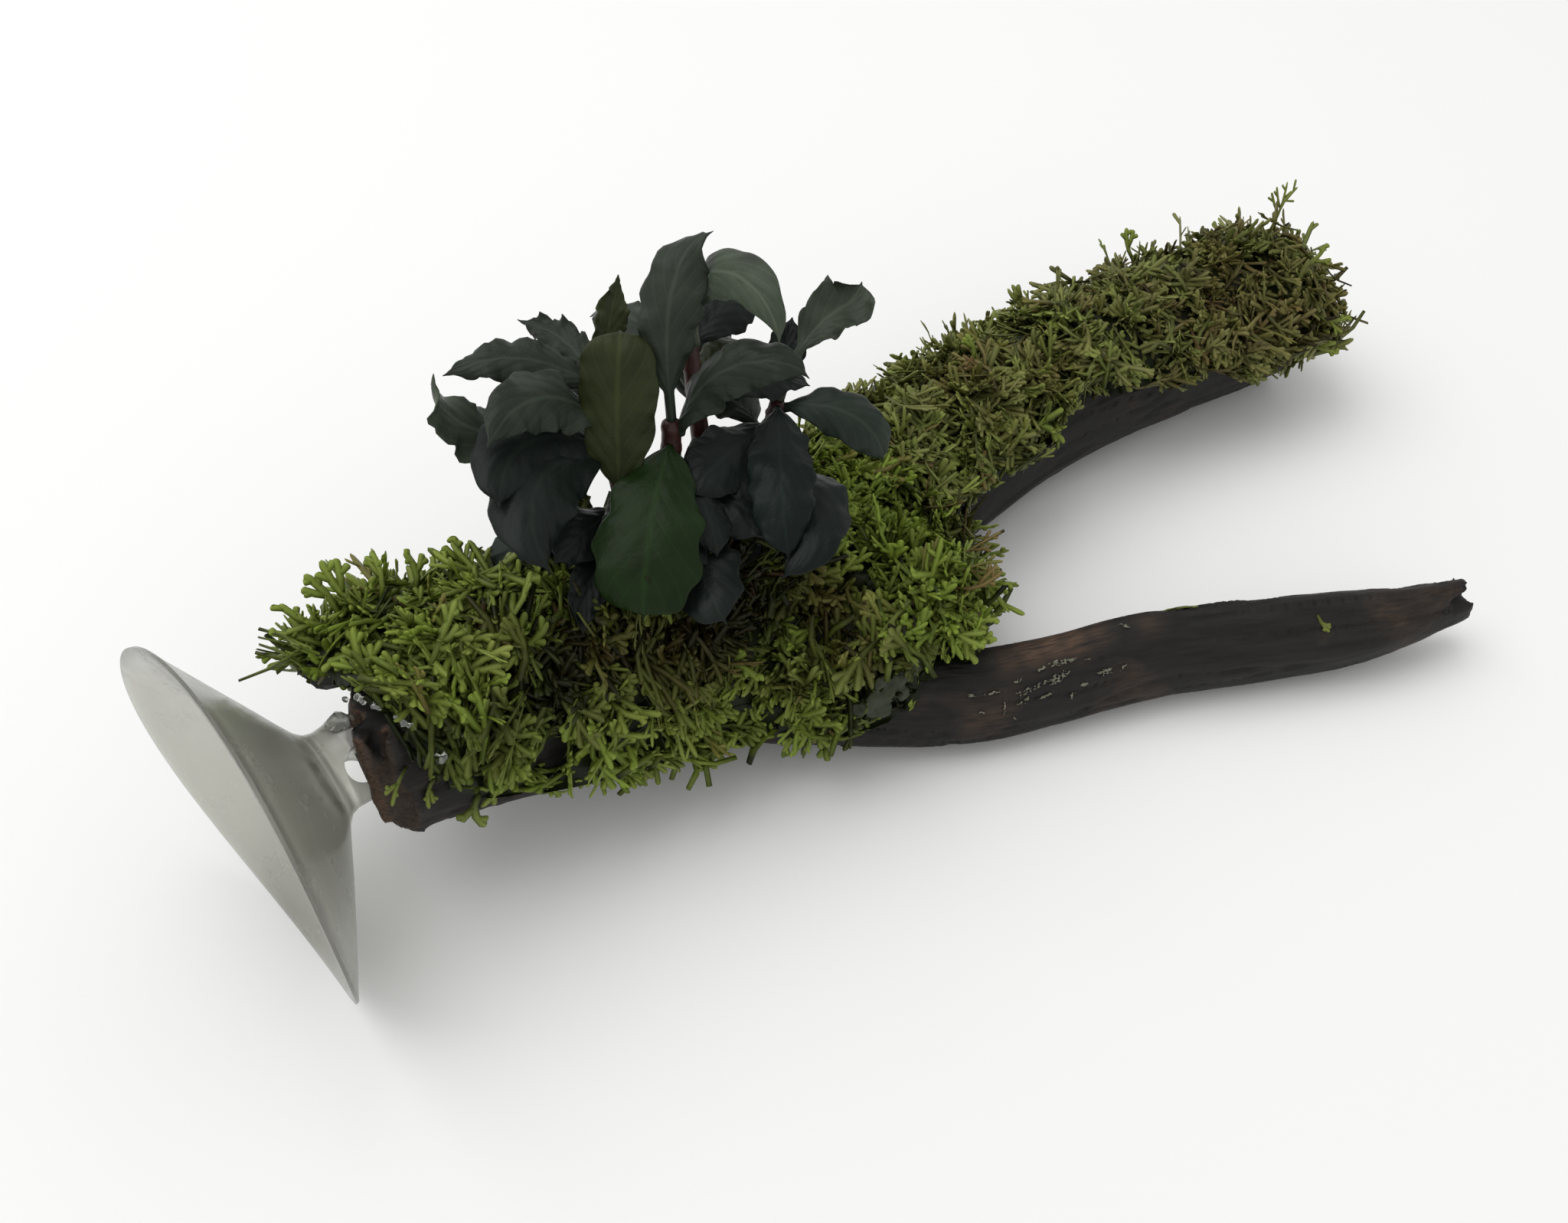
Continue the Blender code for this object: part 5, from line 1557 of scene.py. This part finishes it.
def leaf_shell(name, number, row, stem, settings):
    """One leaf as a thin closed shell: stalk, sunken midrib, waved and curled margins."""
    width, stalk, lift = row[8], row[10], row[11]
    green, peak, sharpness, waves, wave_height = row[12:17]
    second, second_share = SECOND_WAVE
    third, third_share = THIRD_WAVE
    phase = number * WAVE_SHIFT
    rings = []
    spots = []
    for point, side, face, s in leaf_line(stem, row):
        u = max(0.0, (s - stalk) / (1 - stalk))
        half = blade_half_width(u, width, peak, sharpness)
        flat = min(1.0, u * 5)
        wide = half * 2 / width
        upper, lower = [], []
        for k in range(LEAF_ACROSS + 1):
            q = math.sin((k / LEAF_ACROSS - 0.5) * math.pi)
            edge = abs(q)
            turn = phase + (1.7 if q > 0 else 0.0)
            wave = math.sin(2 * math.pi * waves * u + turn)
            wave += second_share * math.sin(2 * math.pi * waves * second * u + turn * 3)
            wave += third_share * edge * math.sin(2 * math.pi * waves * third * u + turn * 5)
            margin = wave_height * wave * edge ** 2.2 * min(1.0, wide * 1.6)
            shape = flat * (half * 2 * lift * q * q + margin)
            shape -= flat * MIDRIB_DEPTH * math.exp(-(q * half / MIDRIB_WIDTH) ** 2)
            vein = math.cos(2 * math.pi * VEIN_PAIRS * (u * (1 - stalk) + stalk - VEIN_SWEEP * edge))
            shape -= flat * VEIN_RELIEF * vein * (1 - edge) * min(1.0, edge * 5)
            ragged = math.sin(2 * math.pi * waves * 1.7 * u + turn * 2)
            ragged += noise.noise(Vector((u * 11, turn, 0.5))) * 2
            nibble = 1 + NIBBLE * flat * ragged * edge ** 4
            centre = point + side * (half * q * nibble) + face * shape
            round_part = math.sqrt(max(0.0, 1 - q * q))
            blade_part = BLADE_THICKNESS + (EDGE_THICKNESS - BLADE_THICKNESS) * edge
            blade_part *= min(1.0, round_part * 3) / 2
            thick = (blade_part * flat + STALK_RADIUS * round_part * (1 - flat)) * min(1.0, half * 2.5)
            upper.append(world(*(centre + face * thick)))
            lower.append(world(*(centre - face * thick)))
            spots.append((s, (q + 1) / 2))
        rings.append(upper + lower[-2:0:-1])
    leaf = add_mesh(name, *loft(rings))
    outward_normals(leaf)
    mesh = leaf.data
    mesh.shade_smooth()
    around = len(rings[0])
    per_point = []
    for r in range(len(rings)):
        row_spots = spots[r * (LEAF_ACROSS + 1):(r + 1) * (LEAF_ACROSS + 1)]
        per_point += row_spots + row_spots[-2:0:-1]
    layer = mesh.uv_layers.new(name="blade")
    for loop in mesh.loops:
        layer.data[loop.index].uv = per_point[loop.vertex_index]
    tint = Vector(getattr(settings, green)[:3]) * (1 + 0.12 * math.sin(number * GREEN_SHIFT))
    under = tint * 1.15 + Vector((0.006, 0.004, 0.003))
    colours = mesh.attributes.new("tint", 'FLOAT_COLOR', 'POINT')
    for index in range(len(mesh.vertices)):
        below = index % around > LEAF_ACROSS
        colours.data[index].color = (*(under if below else tint), 1.0)
    return leaf


def build_leaves(settings):
    """All the leaves, the small low ones as one piece."""
    material = wet_leaf()
    lines = stem_lines()
    for number, row in enumerate(LEAVES, start=1):
        leaf = leaf_shell(f"leaf_{number:02d}_blade", number, row, lines[row[0]], settings)
        finish_piece(leaf, material, "leaf", f"leaf_{number:02d}")
    low = [leaf_shell(f"low_leaf_{number}", number, row, lines[row[0]], settings)
           for number, row in enumerate(LOW_LEAVES, start=FIRST_LOW_LEAF)]
    low = join(low)
    low.name = "low_leaves"
    finish_piece(low, material, "leaf")


def build_glue(settings):
    """The lumpy bead of glue between the neck and the wood."""
    lumps_of_glue = []
    for place, radius in GLUE_LUMPS:
        deselect_all()
        bpy.ops.mesh.primitive_ico_sphere_add(subdivisions=3, radius=radius * MM, location=world(*place))
        lumps_of_glue.append(bpy.context.object)
    bead = join(lumps_of_glue)
    bead.name = "clear_glue_bead"
    bpy.ops.object.transform_apply(location=True, rotation=True, scale=True)
    apply_modifier(bead, 'REMESH', mode='VOXEL', voxel_size=BEAD_VOXEL * MM)
    apply_modifier(bead, 'SMOOTH', iterations=4, factor=0.5)
    for vert in bead.data.vertices:
        vert.co += vert.normal * noise.noise(vert.co / (BEAD_WAVE_SIZE * MM)) * BEAD_WAVE * MM
    bead.data.shade_smooth()
    finish_piece(bead, clear_glue(settings), "clear_glue", "glue_bead")


def build_skin(name, lumps_of_gel, carrier, sunk, material, slot):
    """A skin of gel: flat lumps in the surface that the photograph shows, run together."""
    items = []
    for px, py, radius, height in lumps_of_gel:
        place, normal = seen_at(px, py, carrier)
        deselect_all()
        bpy.ops.mesh.primitive_ico_sphere_add(subdivisions=3, radius=radius * MM, location=place,
                                              rotation=normal.to_track_quat('Z', 'Y').to_euler())
        lump = bpy.context.object
        lump.location -= normal * sunk * MM
        lump.scale.z = height
        items.append(lump)
    skin = join(items)
    skin.name = name
    bpy.ops.object.transform_apply(location=True, rotation=True, scale=True)
    apply_modifier(skin, 'REMESH', mode='VOXEL', voxel_size=SKIN_VOXEL * MM)
    apply_modifier(skin, 'SMOOTH', iterations=3, factor=0.5)
    for vert in skin.data.vertices:
        vert.co += vert.normal * noise.noise(vert.co / (SKIN_WAVE_SIZE * MM)) * SKIN_WAVE * MM
    skin.data.shade_smooth()
    finish_piece(skin, material, slot)


def build_flecks(bark, material):
    """Thin broken patches that follow the bare wood."""
    points, faces = [], []
    step = FLECK_STEP
    for number, (px, py, half_long, half_short, degrees, thickness, ragged) in enumerate(PALE_FLECKS):
        turn = math.radians(degrees)
        long_steps = math.ceil(half_long * 1.5 / step)
        short_steps = math.ceil(half_short * 1.5 / step)
        index = {}
        for i in range(-long_steps, long_steps + 1):
            for j in range(-short_steps, short_steps + 1):
                a, b = i * step / half_long, j * step / half_short
                reach = math.hypot(a, b)
                angle = math.atan2(b, a)
                around = Vector((math.cos(angle) * 2.2, math.sin(angle) * 2.2, number * 5.3))
                edge = 1 + ragged * noise.noise(around)
                broken = noise.noise(Vector((i * step / 3.5, j * step / 1.6, number * 2.7)))
                if reach > edge or broken > BROKEN_FROM:
                    continue
                x = px + i * step * math.cos(turn) + j * step * math.sin(turn)
                y = py - i * step * math.sin(turn) + j * step * math.cos(turn)
                place, normal = seen_at(x, y, bark)
                bulge = math.sqrt(max(0.0, 1 - (reach / edge) ** 2))
                index[i, j] = len(points)
                points.append(place + normal * thickness * MM * (0.4 + 0.6 * bulge))
        for i, j in index:
            corners = [(i, j), (i + 1, j), (i + 1, j + 1), (i, j + 1)]
            if all(corner in index for corner in corners):
                square = [points[index[corner]] for corner in corners]
                if max((a - b).length for a, b in zip(square, square[1:])) < LONGEST_EDGE * MM:
                    faces.append([index[corner] for corner in corners])
    film = add_mesh("pale_flecks", points, faces)
    mesh = bmesh.new()
    mesh.from_mesh(film.data)
    bmesh.ops.delete(mesh, geom=[v for v in mesh.verts if not v.link_faces], context='VERTS')
    mesh.to_mesh(film.data)
    mesh.free()
    apply_modifier(film, 'SMOOTH', iterations=2, factor=0.5)
    apply_modifier(film, 'SOLIDIFY', thickness=FILM_THICKNESS * MM, offset=-0.8)
    outward_normals(film)
    film.data.shade_smooth()
    finish_piece(film, material, "driftwood")


def build_residue(settings):
    """Skins of glue on the trunk's end, pale flecks and a slimy crust on the front arm."""
    bark = tree_of(bpy.data.objects["driftwood"])
    mossy = tree_of(*MOSS_PADS, "wood_trunk")
    white = thin_film("dried_glue_film", settings.white, 0.3, 0.45, 0.8)
    pale = thin_film("dried_pale_film", settings.pale, 0.7, 0.0, 0.6)
    crust = thin_film("slimy_green_crust", settings.crust, 0.4, 0.0, 1.2)
    build_skin("glue_film", GLUE_SKIN, mossy, 0.3, bpy.data.materials["cured_clear_glue"], "clear_glue")
    build_skin("white_residue", WHITE_SKIN, mossy, 0.0, white, "clear_glue")
    build_skin("green_crust", CRUST_SKIN, mossy, 1.4, crust, "moss")
    build_flecks(bark, pale)
    add_scraps(bark, bpy.data.materials["fleshy_ribbon_moss"])


def build_suction_cup(settings):
    """The cup, turned ring by ring from the floor of its hollow to the end of its neck."""
    deselect_all()
    first_x, first_radius = CUP_PROFILE[0]
    bpy.ops.mesh.primitive_circle_add(vertices=CUP_SIDES, radius=first_radius * MM, fill_type='NGON',
                                      location=world(first_x, 0, CUP_RADIUS), rotation=(0, math.pi / 2, 0))
    cup = bpy.context.object
    cup.name = "clear_suction_cup"
    bpy.ops.object.transform_apply(location=False, rotation=True, scale=False)
    bpy.ops.object.mode_set(mode='EDIT')
    bpy.ops.mesh.select_all(action='SELECT')
    for (x, radius), (next_x, next_radius) in zip(CUP_PROFILE, CUP_PROFILE[1:]):
        bpy.ops.mesh.extrude_region_move(TRANSFORM_OT_translate={"value": ((next_x - x) * MM, 0, 0)})
        scale = next_radius / radius
        bpy.ops.transform.resize(value=(1, scale, scale))
    bpy.ops.object.mode_set(mode='OBJECT')
    make_active(cup)
    bpy.ops.object.transform_apply(location=True, rotation=False, scale=False)
    outward_normals(cup)
    across = Vector((0, -math.cos(NECK_HOLE_TILT), math.sin(NECK_HOLE_TILT)))
    deselect_all()
    bpy.ops.mesh.primitive_cylinder_add(vertices=NECK_HOLE_SIDES, radius=NECK_HOLE_RADIUS * MM,
                                        depth=NECK_HOLE_REACH * MM,
                                        location=world(NECK_HOLE_X, 0, CUP_RADIUS - NECK_HOLE_DROP),
                                        rotation=across.to_track_quat('Z', 'X').to_euler())
    drill = bpy.context.object
    apply_modifier(cup, 'BOOLEAN', operation='DIFFERENCE', object=drill)
    bpy.data.objects.remove(drill, do_unlink=True)
    centre = world(0, 0, CUP_RADIUS)
    for vert in cup.data.vertices:
        away = vert.co - centre
        radius = math.hypot(away.y, away.z) / (CUP_RADIUS * MM)
        if radius > 0:
            sideways = (away.y / (radius * CUP_RADIUS * MM)) ** 2
            vert.co.x -= settings.rim_bow * radius * radius * sideways
    make_active(cup)
    bpy.ops.object.shade_smooth_by_angle(angle=math.radians(35))
    finish_piece(cup, clear_pvc(settings), "clear_plastic", "suction_cup")


def build_stage(settings):
    """Camera, pale floor and soft light."""
    scene = bpy.context.scene
    scene.view_settings.view_transform = 'Standard'
    deselect_all()
    bpy.ops.object.camera_add(location=CAMERA_PLACE, rotation=CAMERA_TURN)
    camera = bpy.context.object
    camera.data.sensor_width = SENSOR_WIDTH
    camera.data.lens = FOCAL_PIXELS / IMAGE_WIDTH * SENSOR_WIDTH
    camera.data.clip_start = 0.005
    scene.camera = camera
    bpy.ops.mesh.primitive_plane_add(size=3.0, location=(0, 0, -0.0001))
    floor = bpy.context.object
    floor.name = "floor"
    material, tree, shader, place = start_material("matt_white_card")
    # Card fibres are too fine to show in the render, so they are drawn 0.8 mm apart
    fibre = add_node(tree, "TexNoise", {"Scale": per_mm(0.8), "Detail": 2.0}, {"Vector": place})
    bump = add_node(tree, "Bump", {"Strength": 0.03, "Distance": 0.0001}, {"Height": fibre})
    set_node(tree, shader, {"Base Color": settings.floor, "Roughness": 0.9, "Specular IOR Level": 0.1},
             {"Normal": bump})
    floor.data.materials.append(material)
    world_light = bpy.data.worlds.new("soft_room")
    world_light.use_nodes = True
    background = world_light.node_tree.nodes["Background"]
    background.inputs["Color"].default_value = (1, 1, 1, 1)
    background.inputs["Strength"].default_value = settings.sky_strength
    scene.world = world_light
    bpy.ops.object.light_add(type='AREA', location=(-0.25, 0.35, 0.9))
    panel = bpy.context.object
    panel.data.size = 0.9
    panel.data.energy = settings.panel_power
    panel.rotation_euler = (Vector((0, 0, 0)) - panel.location).to_track_quat('-Z', 'Y').to_euler()


class SCENE_OT_add_stage(bpy.types.Operator):
    """Add the camera, the floor and the light"""
    bl_idname = "driftwood.add_stage"
    bl_label = "Add stage"

    def execute(self, context):
        build_stage(context.scene.driftwood_stage)
        return {'FINISHED'}


class MESH_OT_add_driftwood(bpy.types.Operator):
    """Add the forked branch"""
    bl_idname = "driftwood.add_wood"
    bl_label = "Add driftwood"

    def execute(self, context):
        build_driftwood(context.scene.driftwood_wood)
        return {'FINISHED'}


class MESH_OT_add_moss(bpy.types.Operator):
    """Add the pads of ribbon moss"""
    bl_idname = "driftwood.add_moss"
    bl_label = "Add moss"

    def execute(self, context):
        build_moss(context.scene.driftwood_moss)
        return {'FINISHED'}


class MESH_OT_add_suction_cup(bpy.types.Operator):
    """Add the clear suction cup"""
    bl_idname = "driftwood.add_suction_cup"
    bl_label = "Add suction cup"

    def execute(self, context):
        build_suction_cup(context.scene.driftwood_cup)
        return {'FINISHED'}


class MESH_OT_add_stems(bpy.types.Operator):
    """Add the rhizome, its roots and the stems"""
    bl_idname = "driftwood.add_stems"
    bl_label = "Add stems"

    def execute(self, context):
        build_stems(context.scene.driftwood_plant)
        return {'FINISHED'}


class MESH_OT_add_leaves(bpy.types.Operator):
    """Add the leaves"""
    bl_idname = "driftwood.add_leaves"
    bl_label = "Add leaves"

    def execute(self, context):
        build_leaves(context.scene.driftwood_plant)
        return {'FINISHED'}


class MESH_OT_add_glue(bpy.types.Operator):
    """Add the bead of clear glue"""
    bl_idname = "driftwood.add_glue"
    bl_label = "Add glue"

    def execute(self, context):
        build_glue(context.scene.driftwood_cup)
        return {'FINISHED'}


class MESH_OT_add_residue(bpy.types.Operator):
    """Add films, flecks, crust and scraps of moss; needs the driftwood and the moss"""
    bl_idname = "driftwood.add_residue"
    bl_label = "Add residue"

    def execute(self, context):
        build_residue(context.scene.driftwood_residue)
        return {'FINISHED'}


class VIEW3D_PT_driftwood(bpy.types.Panel):
    """Panel with the pieces and their settings"""
    bl_label = "Driftwood"
    bl_space_type = 'VIEW_3D'
    bl_region_type = 'UI'
    bl_category = "Driftwood"

    def draw(self, context):
        for operator, group in OPERATORS:
            self.layout.operator(operator.bl_idname)
            settings = getattr(context.scene, group)
            for name in settings.__annotations__:
                self.layout.prop(settings, name)


SETTINGS = {
    "driftwood_stage": StageSettings,
    "driftwood_wood": WoodSettings,
    "driftwood_moss": MossSettings,
    "driftwood_plant": PlantSettings,
    "driftwood_cup": CupSettings,
    "driftwood_residue": ResidueSettings,
}
OPERATORS = (
    (SCENE_OT_add_stage, "driftwood_stage"),
    (MESH_OT_add_driftwood, "driftwood_wood"),
    (MESH_OT_add_moss, "driftwood_moss"),
    (MESH_OT_add_stems, "driftwood_plant"),
    (MESH_OT_add_leaves, "driftwood_plant"),
    (MESH_OT_add_suction_cup, "driftwood_cup"),
    (MESH_OT_add_glue, "driftwood_cup"),
    (MESH_OT_add_residue, "driftwood_residue"),
)


def register():
    """Add the settings, the operators and the panel."""
    for name, group in SETTINGS.items():
        bpy.utils.register_class(group)
        setattr(bpy.types.Scene, name, PointerProperty(type=group))
    for operator, _ in OPERATORS:
        bpy.utils.register_class(operator)
    bpy.utils.register_class(VIEW3D_PT_driftwood)


def unregister():
    """Take them away again."""
    bpy.utils.unregister_class(VIEW3D_PT_driftwood)
    for operator, _ in reversed(OPERATORS):
        bpy.utils.unregister_class(operator)
    for name, group in SETTINGS.items():
        delattr(bpy.types.Scene, name)
        bpy.utils.unregister_class(group)


def main():
    """Build every piece through its operator."""
    register()
    bpy.ops.driftwood.add_stage()
    bpy.ops.driftwood.add_wood()
    bpy.ops.driftwood.add_moss()
    bpy.ops.driftwood.add_stems()
    bpy.ops.driftwood.add_leaves()
    bpy.ops.driftwood.add_suction_cup()
    bpy.ops.driftwood.add_glue()
    bpy.ops.driftwood.add_residue()
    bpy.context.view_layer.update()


if __name__ == "__main__":
    main()
